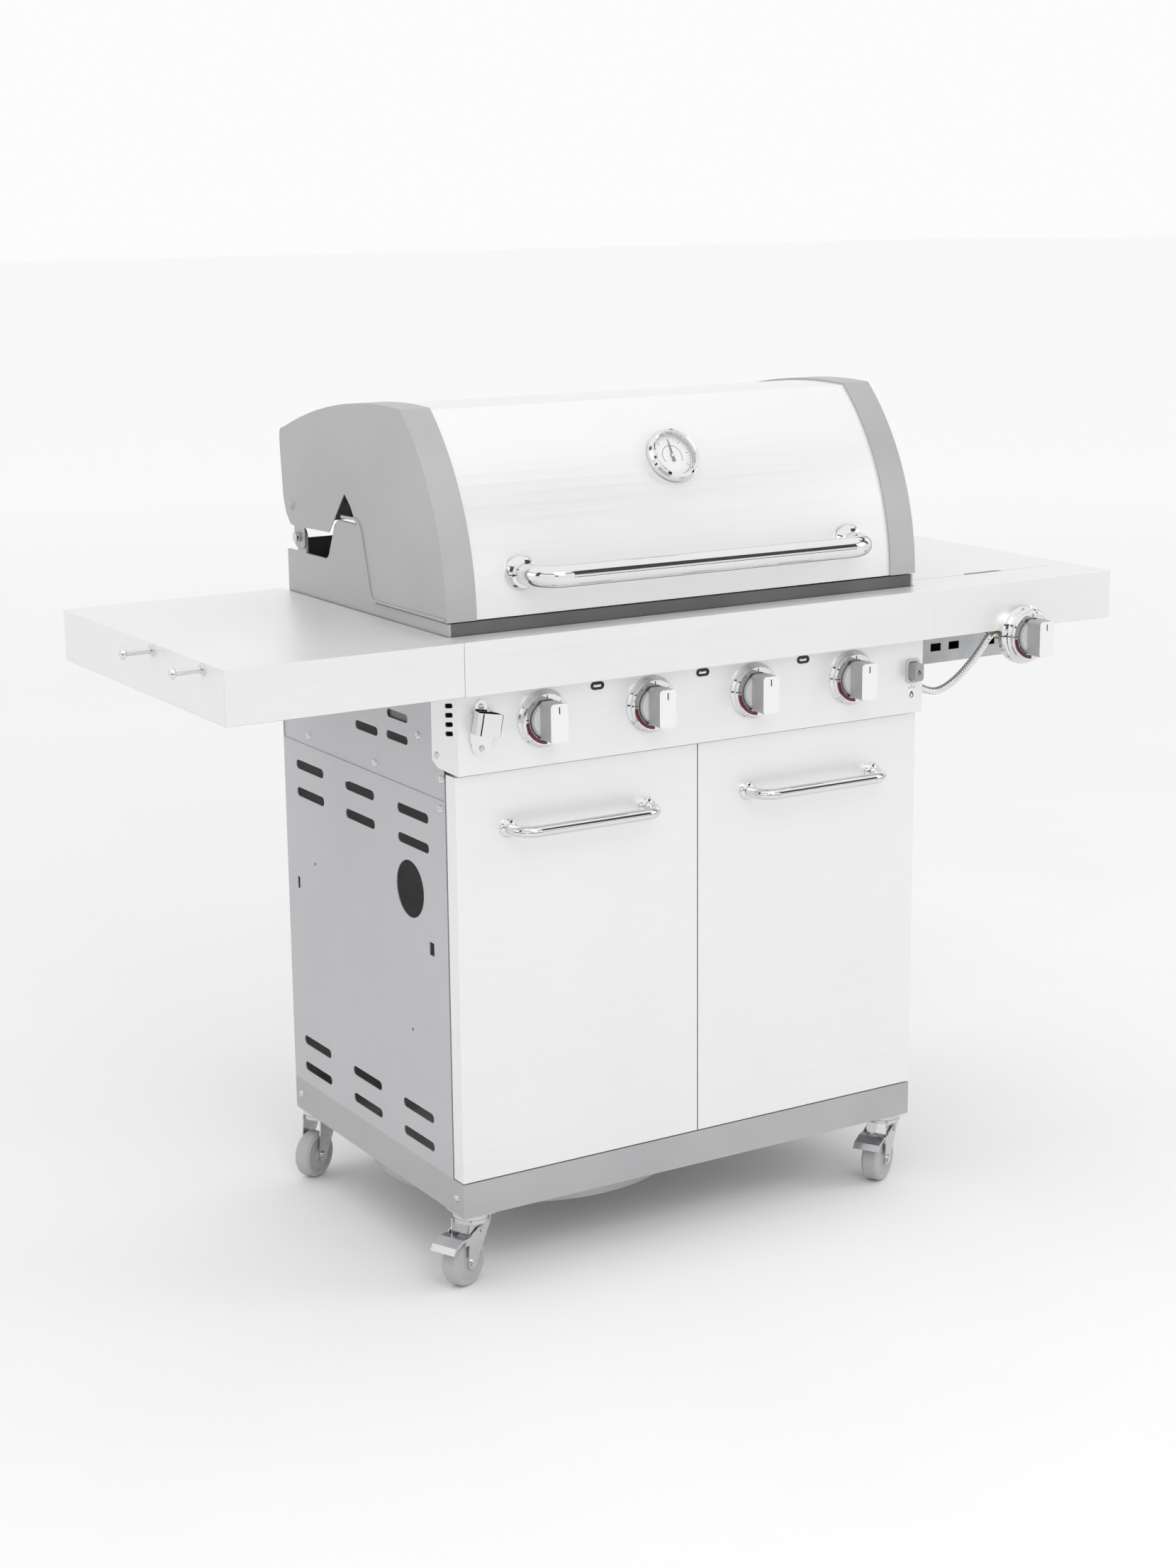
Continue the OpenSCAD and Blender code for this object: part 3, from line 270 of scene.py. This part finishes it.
def firebox_two_tone():
    """Dark porcelain inside, pale grey coat on the outer side plates."""
    m = Mat("firebox_coats")
    peel = m.noise(m.mapping((1, 1, 1)), 1200, 2.0, 0.5)
    cloud = m.noise(m.mapping((1, 1, 1)), 6.0, 4.0, 0.55)
    pos = m.n("ShaderNodeNewGeometry")
    sub = m.n("ShaderNodeVectorMath", operation="SUBTRACT")
    sub.inputs[1].default_value = (OX, OY, 0)
    m.link(pos.outputs["Position"], sub.inputs[0])
    ab = m.n("ShaderNodeVectorMath", operation="ABSOLUTE")
    m.link(sub.outputs["Vector"], ab.inputs[0])
    sp = m.n("ShaderNodeSeparateXYZ")
    m.link(ab.outputs["Vector"], sp.inputs["Vector"])
    f = m.range(sp.outputs["X"], 0.0, 1.0, 0.3824, 0.3826)
    dark = m.ramp(cloud, [(0.32, (0.10, 0.10, 0.105)), (0.68, (0.14, 0.14, 0.145))])
    pale = m.ramp(cloud, [(0.32, (0.42, 0.42, 0.42)), (0.68, (0.46, 0.46, 0.46))])
    mx = m.n("ShaderNodeMix", data_type="RGBA")
    m.link(f, mx.inputs["Factor"])
    m.link(dark, mx.inputs["A"])
    m.link(pale, mx.inputs["B"])
    m.link(mx.outputs["Result"], m.b.inputs["Base Color"])
    m.link(m.range(cloud, 0.32, 0.46), m.b.inputs["Roughness"])
    m.bump(peel, 0.08, 0.0003)
    m.set(Metallic=0.15)
    return m.m


M["firebox"] = firebox_two_tone()
M["emitter"] = speckle("emitter_enamel", (0.08, 0.075, 0.07), (0.13, 0.12, 0.11), 500, 0.45)
M["iron"] = speckle("grate_iron", (0.022, 0.022, 0.023), (0.07, 0.07, 0.072), 650, 0.42)
M["wire"] = chrome("rack_wire", 0.7, 0.12, 0.24)
M["galv"] = paint("galvanised", (0.48, 0.49, 0.50), (0.60, 0.61, 0.62), 0.32, 0.5, metallic=0.7, grain=300, bump=0.05, cloud_scale=40)
M["wheel"] = paint("wheel_plastic", (0.40, 0.40, 0.405), (0.46, 0.46, 0.465), 0.45, 0.6, grain=1600, bump=0.12)
M["button"] = paint("button_plastic", (0.30, 0.30, 0.31), (0.36, 0.36, 0.37), 0.34, 0.5, grain=1800, bump=0.08)
M["socket"] = paint("socket_plastic", (0.52, 0.52, 0.53), (0.58, 0.58, 0.59), 0.25, 0.38, grain=1800, bump=0.06)
M["needle"] = paint("needle_paint", (0.012, 0.012, 0.012), (0.02, 0.02, 0.02), 0.4, 0.5, grain=2500, bump=0.05)
M["dial"] = paint("dial_enamel", (0.84, 0.84, 0.83), (0.88, 0.88, 0.87), 0.35, 0.45, grain=2500, bump=0.03, cloud_scale=30)
M["ink"] = paint("black_ink", (0.015, 0.015, 0.016), (0.028, 0.028, 0.03), 0.45, 0.6, grain=3000, bump=0.05, cloud_scale=200)
M["maroon"] = paint("maroon_ink", (0.085, 0.006, 0.009), (0.12, 0.009, 0.013), 0.3, 0.42, grain=3000, bump=0.05, cloud_scale=200, coat=0.3)
M["seal"] = paint("black_rubber", (0.012, 0.012, 0.013), (0.022, 0.022, 0.023), 0.5, 0.7, grain=2000, bump=0.15, cloud_scale=60)


def glass():
    m = Mat("clear_glass")
    w = m.noise(m.mapping((1, 1, 1)), 60, 2.0, 0.5)
    m.link(m.range(w, 0.015, 0.04), m.b.inputs["Roughness"])
    m.bump(w, 0.01, 0.0002)
    m.set(Base_Color=(1, 1, 1, 1), Alpha=0.12, IOR=1.45)
    return m.m


M["glass"] = glass()

GIVE = {
    "sheet": "control_panel left_shelf right_shelf door_left door_right side_burner_lid",
    "lid": "lid_skin",
    "side": "left_side_panel right_side_panel",
    "back": "back_panel",
    "rail": "base_pan",
    "cap": "lid_cap_left lid_cap_right",
    "chrome": "lid_handle door_handle_left door_handle_right knob_bezels gauge_housing tool_hooks bottle_opener",
    "zinc": "screws hinge_pins caster_mounts fork_front_left fork_front_right fork_rear_left fork_rear_right brake_front_left brake_front_right",
    "knob": "knob_1 knob_2 knob_3 knob_4 side_knob",
    "stem": "stem_1 stem_2 stem_3 stem_4 side_stem",
    "brass": "gas_valves",
    "pipe": "gas_manifold",
    "burner": "burners",
    "firebox": "firebox",
    "emitter": "emitters",
    "iron": "grates side_burner_trivet side_burner_head",
    "wire": "warming_rack rack_legs",
    "galv": "grease_tray side_burner_box",
    "wheel": "wheel_front_left wheel_front_right wheel_rear_left wheel_rear_right",
    "socket": "igniter_module",
    "button": "igniter_button",
    "needle": "gauge_needle",
    "glass": "gauge_glass",
}
for key, names in GIVE.items():
    for n in names.split():
        o = N[n]
        if not o.material_slots:
            o.data.materials.append(M[key])
        for s in o.material_slots:
            s.material = M[key]


def soften(name, width, segments=2, angle=35):
    o = N[name]
    w = o.modifiers.new("weld", "WELD")
    w.merge_threshold = 0.00001
    b = o.modifiers.new("edge", "BEVEL")
    b.width = width
    b.segments = segments
    b.limit_method = "ANGLE"
    b.angle_limit = math.radians(angle)
    b.harden_normals = True


# ---------------------------------------------------------------- mesh helpers
def obj(name, verts, faces, mat, body, smooth=False):
    me = bpy.data.meshes.new(name)
    me.from_pydata([tuple(v) for v in verts], [], faces)
    bm = bmesh.new()
    bm.from_mesh(me)
    bmesh.ops.recalc_face_normals(bm, faces=bm.faces)
    bm.to_mesh(me)
    bm.free()
    for p in me.polygons:
        p.use_smooth = smooth
    me.materials.append(mat)
    o = bpy.data.objects.new(name, me)
    bpy.context.scene.collection.objects.link(o)
    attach(o, body)
    return o


def face_on(origin, normal, up=Vector((0, 0, 1))):
    """A local frame lying on a face: u to the right, v up, w out of the face."""
    w = Vector(normal).normalized()
    u = up.cross(w).normalized()
    v = w.cross(u).normalized()
    return lambda a, b, c=0.0: Vector(origin) + u * (a / 1000) + v * (b / 1000) + w * (c / 1000)


def prism(name, loops, c0, c1, at, mat, body):
    """Closed flat pieces from outlines in millimetres, between heights c0 and c1 above a face."""
    V, F = [], []
    for pts in loops:
        k, n = len(V), len(pts)
        V += [at(a, b, c0) for a, b in pts] + [at(a, b, c1) for a, b in pts]
        F.append(list(range(k + n - 1, k - 1, -1)))
        F.append(list(range(k + n, k + 2 * n)))
        F += [[k + i, k + (i + 1) % n, k + n + (i + 1) % n, k + n + i] for i in range(n)]
    return obj(name, V, F, mat, body)


def sector(r0, r1, a0, a1, n=24, ctr=(0, 0)):
    """outline of a piece of a ring, angles in degrees, as one closed loop"""
    A = [math.radians(a0 + (a1 - a0) * i / n) for i in range(n + 1)]
    return [(ctr[0] + r1 * math.cos(a), ctr[1] + r1 * math.sin(a)) for a in A] + \
           [(ctr[0] + r0 * math.cos(a), ctr[1] + r0 * math.sin(a)) for a in reversed(A)]


def sectors(r0, r1, a0, a1, n=24):
    """the same as quads, so that wide arcs stay clean"""
    return [sector(r0, r1, a0 + (a1 - a0) * i / n, a0 + (a1 - a0) * (i + 1) / n, 1) for i in range(n)]


def ring_band(name, r0, r1, a0, a1, c0, c1, at, mat, body, n=32):
    """One closed solid: a band along an arc."""
    V, F = [], []
    A = [math.radians(a0 + (a1 - a0) * i / n) for i in range(n + 1)]
    for a in A:
        c, s = math.cos(a), math.sin(a)
        V += [at(r0 * c, r0 * s, c0), at(r1 * c, r1 * s, c0), at(r1 * c, r1 * s, c1), at(r0 * c, r0 * s, c1)]
    closed = abs(abs(a1 - a0) - 360) < 1e-6
    if closed:
        V = V[:-4]
    m = len(V) // 4
    for i in range(m if closed else m - 1):
        j = (i + 1) % m
        for k in range(4):
            F.append([i * 4 + k, i * 4 + (k + 1) % 4, j * 4 + (k + 1) % 4, j * 4 + k])
    if not closed:
        F.append([3, 2, 1, 0])
        F.append([(m - 1) * 4 + k for k in range(4)])
    return obj(name, V, F, mat, body)


def rounded(w, h, r, n=6, ctr=(0, 0)):
    out = []
    for sx, sy, a0 in ((1, 1, 0), (-1, 1, 90), (-1, -1, 180), (1, -1, 270)):
        for i in range(n + 1):
            a = math.radians(a0 + 90 * i / n)
            out.append((ctr[0] + sx * (w / 2 - r) + r * math.cos(a), ctr[1] + sy * (h / 2 - r) + r * math.sin(a)))
    return out


def lathe(name, prof, at, mat, body, n=48, smooth=True):
    """Turned piece: profile of (radius, height) round the face's normal; both ends on the axis."""
    V, F, rows = [], [], []
    for r, c in prof:
        if r < 1e-6:
            rows.append([len(V)])
            V.append(at(0, 0, c))
        else:
            rows.append([len(V) + i for i in range(n)])
            V += [at(r * math.cos(2 * math.pi * i / n), r * math.sin(2 * math.pi * i / n), c) for i in range(n)]
    for a, b in zip(rows, rows[1:]):
        for i in range(n):
            j = (i + 1) % n
            if len(a) == 1 and len(b) > 1:
                F.append([a[0], b[i], b[j]])
            elif len(b) == 1 and len(a) > 1:
                F.append([a[i], b[0], a[j]])
            elif len(a) > 1:
                F.append([a[i], b[i], b[j], a[j]])
    return obj(name, V, F, mat, body, smooth)


def tube(name, pts, radius, mat, body, n=12):
    """Tube along points (metres) with a radius per point in metres, ends capped."""
    V, F = [], []
    m = len(pts)
    up0 = Vector((0.2, 1, 0.1))
    for i, p in enumerate(pts):
        d = (pts[min(i + 1, m - 1)] - pts[max(i - 1, 0)]).normalized()
        u = d.cross(up0).normalized()
        w = d.cross(u).normalized()
        r = radius(i) if callable(radius) else radius
        V += [p + (u * math.cos(2 * math.pi * k / n) + w * math.sin(2 * math.pi * k / n)) * r for k in range(n)]
    F.append(list(range(n - 1, -1, -1)))
    F.append([(m - 1) * n + k for k in range(n)])
    for i in range(m - 1):
        F += [[i * n + k, (i + 1) * n + k, (i + 1) * n + (k + 1) % n, i * n + (k + 1) % n] for k in range(n)]
    return obj(name, V, F, mat, body, True)


# ---------------------------------------------------------------- the side burner's gas hose
HOSE = [[410, -204, 768], [414, -204, 768], [419, -204, 765], [426, -204, 762], [434, -205, 758], [442, -206, 753], [451, -207, 748],
        [461, -209, 744], [471, -212, 743], [481, -216, 746], [489, -221, 752], [496, -227, 760], [501, -234, 769], [505, -242, 779],
        [508, -250, 789], [510, -258, 799], [512, -264, 808], [514, -270, 817], [516, -274, 825], [519, -277, 831], [523, -278, 836], [528, -278, 836]]


def hose():
    P = [C(*p) for p in HOSE]
    # smooth curve through the points, cut into short steps for the ribs
    dense = []
    for i in range(len(P) - 1):
        p0, p1, p2, p3 = P[max(i - 1, 0)], P[i], P[i + 1], P[min(i + 2, len(P) - 1)]
        for k in range(8):
            t = k / 8
            dense.append(0.5 * ((2 * p1) + (p2 - p0) * t + (2 * p0 - 5 * p1 + 4 * p2 - p3) * t * t + (3 * p1 - p0 - 3 * p2 + p3) * t ** 3))
    dense.append(P[-1])
    # even steps
    L = [0.0]
    for a, b in zip(dense, dense[1:]):
        L.append(L[-1] + (b - a).length)
    total, step = L[-1], 0.00075
    cnt = int(total / step)
    even, j = [], 0
    for i in range(cnt + 1):
        s = total * i / cnt
        while j < len(L) - 2 and L[j + 1] < s:
            j += 1
        t = (s - L[j]) / max(L[j + 1] - L[j], 1e-9)
        even.append(dense[j].lerp(dense[j + 1], min(max(t, 0), 1)))
    pitch = 0.0045

    def rad(i):
        s = total * i / cnt
        if s < 0.012 or s > total - 0.012:
            return 0.00595
        return 0.0056 + 0.0004 * math.cos(2 * math.pi * s / pitch)

    o = tube("corrugated_hose", even, rad, M["hose"], "cart", 16)
    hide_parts("side_burner_hose")


M["hose"] = chrome("hose_steel", 0.8, 0.14, 0.24)
hose()

# ---------------------------------------------------------------- gauge dial
b0, b1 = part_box("gauge_housing")
TILT = math.radians(58.9)
gn = Vector((0, -math.sin(TILT), math.cos(TILT)))


def dial():
    base = C(0, 120, 930) + gn * 0.378          # back of the housing, on the lid
    at = face_on(base, gn)
    lathe("dial_plate", [(0, 3.05), (31.4, 3.05), (31.4, 3.7), (1.6, 3.7), (0, 3.7)], at, M["dial"], "lid", 72, False)
    z0, z1 = 3.72, 3.95
    ring_band("dial_arc", 15.2, 16.0, -35, 215, z0, z1, at, M["ink"], "lid", 48)
    ticks = []
    for i in range(25):
        a = math.radians(215 - 250 * i / 24)
        r0, r1, w = (23.5, 28.0, 0.42) if i % 4 == 0 else (25.8, 28.0, 0.25)
        ca, sa = math.cos(a), math.sin(a)
        ticks.append([(r0 * ca - w * sa, r0 * sa + w * ca), (r0 * ca + w * sa, r0 * sa - w * ca),
                      (r1 * ca + w * sa, r1 * sa - w * ca), (r1 * ca - w * sa, r1 * sa + w * ca)])
    prism("dial_ticks", ticks, z0, z1, at, M["ink"], "lid")
    ring_band("dial_rim", 29.3, 29.9, 0, 360, z0, z1, at, M["ink"], "lid", 72)
    # hub cap over the needle
    lathe("needle_hub", [(0, 5.5), (2.4, 5.5), (2.4, 6.2), (1.6, 6.8), (0, 6.9)], at, M["chrome"], "needle", 32)


dial()

# ---------------------------------------------------------------- knob rings: printed marks
kb = [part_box(f"knob_{i}") for i in range(1, 5)] + [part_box("side_knob")]


def ring_marks(i, lo, hi):
    cx, cz = (lo.x + hi.x) / 2, (lo.z + hi.z) / 2
    # the ring's front face stands grip_out behind the knob's front
    y = lo.y + 0.032
    at = face_on((cx, y, cz), (0, -1, 0))
    tag = f"{i + 1}"
    ring_band("ring_arc_" + tag, 28.4, 33.4, 184, 268, 0.03, 0.25, at, M["maroon"], "cart", 24)
    t = []
    for a, r0, r1, w in ((90, 28.8, 33.6, 0.6), (176, 29.0, 33.2, 0.6), (133, 30.4, 32.8, 0.4), (47, 30.4, 32.8, 0.4)):
        a = math.radians(a)
        ca, sa = math.cos(a), math.sin(a)
        t.append([(r0 * ca - w * sa, r0 * sa + w * ca), (r0 * ca + w * sa, r0 * sa - w * ca),
                  (r1 * ca + w * sa, r1 * sa - w * ca), (r1 * ca - w * sa, r1 * sa + w * ca)])
    prism("ring_ticks_" + tag, t, 0.03, 0.25, at, M["ink"], "cart")


for i, (a, b) in enumerate(kb):
    ring_marks(i, a, b)


def knob_trim(i, lo, hi):
    """red index in the groove of the grip (the grip's grey sides are painted shade in the knob material)"""
    cx, cz = (lo.x + hi.x) / 2, (lo.z + hi.z) / 2
    body = f"knob_{i + 1}" if i < 4 else "side_knob"
    at = face_on((cx, lo.y, cz), (0, -1, 0))
    prism("grip_index_" + str(i + 1), [rounded(1.7, 9.4, 0.6, 4, (0, 17.5))], -0.75, 0.0, at, M["maroon"], body)


for i, (a, b) in enumerate(kb):
    knob_trim(i, a, b)

# ---------------------------------------------------------------- indicator windows between the knobs
p0, p1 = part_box("control_panel")
pan_y = -283


def window(x, k):
    at = face_on(C(x, pan_y, 833), (0, -1, 0))
    V = rounded(21, 11, 5.4, 8)
    inner = rounded(14, 4.6, 2.2, 8)
    n = len(V)
    pts, F = [], []
    for c, loop in ((0.03, V), (1.0, V), (1.6, [(a * 0.93, b * 0.88) for a, b in V]), (1.2, inner), (-2.0, inner)):
        pts += [at(a, b, c) for a, b in loop]
    for s in range(4):
        F += [[s * n + i, s * n + (i + 1) % n, (s + 1) * n + (i + 1) % n, (s + 1) * n + i] for i in range(n)]
    F += [[4 * n + i, 4 * n + (i + 1) % n, (i + 1) % n, i] for i in range(n)]
    # the shaft part behind the sheet is as narrow as the slot
    obj(f"window_frame_{k}", pts, F, M["seal"], "cart", False)
    lens = rounded(13.8, 4.4, 2.1, 8)
    m = len(lens)
    pts, F = [], []
    for c, sc in ((-1.8, 1.0), (0.2, 1.0), (0.8, 0.8), (1.0, 0.45)):
        pts += [at(a * sc, b * sc, c) for a, b in lens]
    for s in range(3):
        F += [[s * m + i, s * m + (i + 1) % m, (s + 1) * m + (i + 1) % m, (s + 1) * m + i] for i in range(m)]
    F += [list(range(m - 1, -1, -1)), [3 * m + i for i in range(m)]]
    obj(f"window_lens_{k}", pts, F, M["chrome"], "cart", False)


# ---------------------------------------------------------------- spark sign under the lighting button
def spark():
    at = face_on(C(369, pan_y, 762), (0, -1, 0))
    drop = []
    for i in range(28):
        a = 2 * math.pi * i / 28
        r = 3.6
        x = r * math.sin(a) * (1 if math.cos(a) < 0 else (1 - 0.55 * math.cos(a)))
        y = -r * math.cos(a + math.pi) * (1.0 if math.cos(a) < 0 else 1.75)
        drop.append((x, y - 2.5))
    inner = [(x * 0.62, (y + 2.5) * 0.62 - 3.0) for x, y in drop]
    n = len(drop)
    pts, F = [], []
    for c, loop in ((0.03, drop), (0.25, drop), (0.25, inner), (0.03, inner)):
        pts += [at(a, b, c) for a, b in loop]
    for s in range(4):
        e = (s + 1) % 4
        F += [[s * n + i, s * n + (i + 1) % n, e * n + (i + 1) % n, e * n + i] for i in range(n)]
    obj("spark_drop", pts, F, M["ink"], "cart")
    t = []
    for x, y, a in ((-4.5, 9.0, 35), (0, 10.5, 0), (4.5, 9.0, -35)):
        ca, sa = math.cos(math.radians(a)), math.sin(math.radians(a))
        q = [(-0.4, -1.6), (0.4, -1.6), (0.4, 1.6), (-0.4, 1.6)]
        t.append([(x + u * ca - v * sa, y + u * sa + v * ca) for u, v in q])
    prism("spark_rays", t, 0.03, 0.25, at, M["ink"], "cart")


for k, x in enumerate((-172, 0, 172)):
    window(x, k + 1)
spark()


def button_mark():
    """drop outline set into the face of the lighting button"""
    b0, b1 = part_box("igniter_button")
    at = face_on(((b0.x + b1.x) / 2, b0.y, (b0.z + b1.z) / 2), (0, -1, 0))
    drop = []
    for i in range(28):
        a = 2 * math.pi * i / 28
        x = 2.7 * math.sin(a) * (1 if math.cos(a) < 0 else (1 - 0.55 * math.cos(a)))
        y = 2.7 * math.cos(a) * (1.0 if math.cos(a) < 0 else 1.75)
        drop.append((x, y - 1.2))
    inner = [(x * 0.55, (y + 1.2) * 0.55 - 1.6) for x, y in drop]
    n = len(drop)
    pts, F = [], []
    for c, loop in ((-0.3, drop), (0.0, drop), (0.0, inner), (-0.3, inner)):
        pts += [at(a, b, c) for a, b in loop]
    for q in range(4):
        e = (q + 1) % 4
        F += [[q * n + i, q * n + (i + 1) % n, e * n + (i + 1) % n, e * n + i] for i in range(n)]
    obj("button_drop", pts, F, M["ink"], "igniter")


button_mark()

# ---------------------------------------------------------------- soft edges on the folded sheets
for n, w in (("left_shelf", 0.0016), ("right_shelf", 0.0016), ("control_panel", 0.0010), ("door_left", 0.0012), ("door_right", 0.0012), ("base_pan", 0.0012)):
    soften(n, w)

# ---------------------------------------------------------------- stage
def stage():
    def emit_plane(name, size, loc, rot, power):
        l = bpy.data.lights.new(name, "AREA")
        l.shape = "RECTANGLE"
        l.size, l.size_y = size
        l.energy = power
        o = bpy.data.objects.new(name, l)
        bpy.context.scene.collection.objects.link(o)
        o.location = loc
        o.rotation_euler = rot
        return o

    me = bpy.data.meshes.new("floor")
    s = 45.0
    me.from_pydata([(-s, -s, 0), (s, -s, 0), (s, s, 0), (-s, s, 0)], [], [[0, 1, 2, 3]])
    fl = Mat("floor_pale")
    c = fl.noise(fl.mapping((1, 1, 1)), 1.5, 3.0, 0.5)
    near = fl.ramp(c, [(0.3, (0.885, 0.885, 0.885)), (0.7, (0.905, 0.905, 0.905))])
    # the floor turns paler with distance up to white: painted brightness standing in for the light the far floor lacks,
    # so that it matches the sky
    ln = fl.n("ShaderNodeVectorMath", operation="LENGTH")
    fl.link(fl.obj, ln.inputs[0])
    far = fl.range(ln.outputs["Value"], 0.0, 1.0, 2.0, 9.0)
    mx = fl.n("ShaderNodeMix", data_type="RGBA")
    mx.inputs["B"].default_value = (1.0, 1.0, 1.0, 1)
    fl.link(far, mx.inputs["Factor"])
    fl.link(near, mx.inputs["A"])
    fl.link(mx.outputs["Result"], fl.b.inputs["Base Color"])
    fl.set(Roughness=0.9, Specular_IOR_Level=0.0)
    me.materials.append(fl.m)
    o = bpy.data.objects.new("floor", me)
    bpy.context.scene.collection.objects.link(o)
    o.location = (0, 0, -0.0005)

    w = bpy.data.worlds.new("studio")
    bpy.context.scene.world = w
    w.use_nodes = True
    t = w.node_tree
    bg = t.nodes["Background"]

    def node(kind, **kw):
        x = t.nodes.new(kind)
        for k, v in kw.items():
            setattr(x, k, v)
        return x

    def math_(op, a, b=None):
        x = node("ShaderNodeMath", operation=op)
        for i, v in enumerate((a, b)):
            if v is None:
                continue
            if isinstance(v, (int, float)):
                x.inputs[i].default_value = v
            else:
                t.links.new(v, x.inputs[i])
        return x.outputs["Value"]

    def band(v, c, half, soft):
        """1 outside a band round c, 0 inside it"""
        d = math_("ABSOLUTE", math_("SUBTRACT", v, c))
        mr = node("ShaderNodeMapRange", interpolation_type="SMOOTHSTEP")
        t.links.new(d, mr.inputs["Value"])
        mr.inputs["From Min"].default_value = half - soft
        mr.inputs["From Max"].default_value = half + soft
        return mr.outputs["Result"]

    tc = node("ShaderNodeTexCoord")
    sep = node("ShaderNodeSeparateXYZ")
    t.links.new(tc.outputs["Generated"], sep.inputs["Vector"])
    X, Y, Z = sep.outputs["X"], sep.outputs["Y"], sep.outputs["Z"]
    # azimuth round the grill, 0 towards its front
    az = math_("ARCTAN2", X, math_("MULTIPLY", Y, -1.0))
    level = band(Z, 0.53, 0.05, 0.03)
    strips = None
    for deg, half in ((-78, 6), (-22, 5), (38, 7), (88, 6)):
        b_ = band(az, math.radians(deg), math.radians(half), math.radians(1.5))
        strips = b_ if strips is None else math_("MULTIPLY", strips, b_)
    # strips stop short of the horizon and of the zenith
    keep = math_("ADD", strips, band(Z, 0.42, 0.27, 0.05))
    keep = math_("MINIMUM", keep, 1.0)
    dark = math_("MULTIPLY", keep, level)
    # the sky just above the horizon is as bright as the far floor
    low = node("ShaderNodeMapRange", interpolation_type="SMOOTHSTEP")
    t.links.new(Z, low.inputs["Value"])
    low.inputs["From Min"].default_value = 0.10
    low.inputs["From Max"].default_value = 0.26
    low.inputs["To Min"].default_value = 0.885
    low.inputs["To Max"].default_value = 1.0
    val = math_("MULTIPLY", math_("ADD", math_("MULTIPLY", dark, 0.93), 0.07), low.outputs["Result"])
    comb = node("ShaderNodeCombineColor")
    for k in ("Red", "Green", "Blue"):
        t.links.new(val, comb.inputs[k])
    t.links.new(comb.outputs["Color"], bg.inputs["Color"])
    bg.inputs["Strength"].default_value = 1.0

    # black cards that only mirror-like surfaces see, as in a product studio
    black = Mat("black_card")
    cn = black.noise(black.mapping((1, 1, 1)), 4.0, 2.0, 0.5)
    black.link(black.ramp(cn, [(0.3, (0.01, 0.01, 0.01)), (0.7, (0.02, 0.02, 0.02))]), black.b.inputs["Base Color"])
    black.set(Roughness=0.9, Specular_IOR_Level=0.0)
    for name, a, b in (("card_front", (-2.6, -3.3), (3.4, -3.3)), ("card_left", (-3.0, -2.6), (-3.0, 1.6)), ("card_right", (3.5, -2.8), (3.5, 1.6))):
        z0, z1 = 0.34, 0.60
        me = bpy.data.meshes.new(name)
        me.from_pydata([(a[0], a[1], z0), (b[0], b[1], z0), (b[0], b[1], z1), (a[0], a[1], z1)], [], [[0, 1, 2, 3]])
        me.materials.append(black.m)
        o = bpy.data.objects.new(name, me)
        bpy.context.scene.collection.objects.link(o)
        o.visible_camera = o.visible_diffuse = o.visible_shadow = o.visible_transmission = o.visible_volume_scatter = False

    def aim(loc, target):
        return (Vector(target) - Vector(loc)).to_track_quat("-Z", "Y").to_euler()

    for name, size, loc, p in (("key", (2.4, 2.4), (-1.0, -4.2, 3.8), 46), ("left", (2.0, 2.0), (-4.2, 0.4, 2.4), 9), ("right", (1.6, 1.6), (3.6, -2.2, 2.4), 14)):
        emit_plane(name, size, loc, aim(loc, (0, 0, 0.6)), p)
    sc = bpy.context.scene
    sc.view_settings.view_transform = "Standard"
    sc.view_settings.look = "None"
    sc.view_settings.exposure = 0.14
    sc.view_settings.gamma = 1.0


stage()
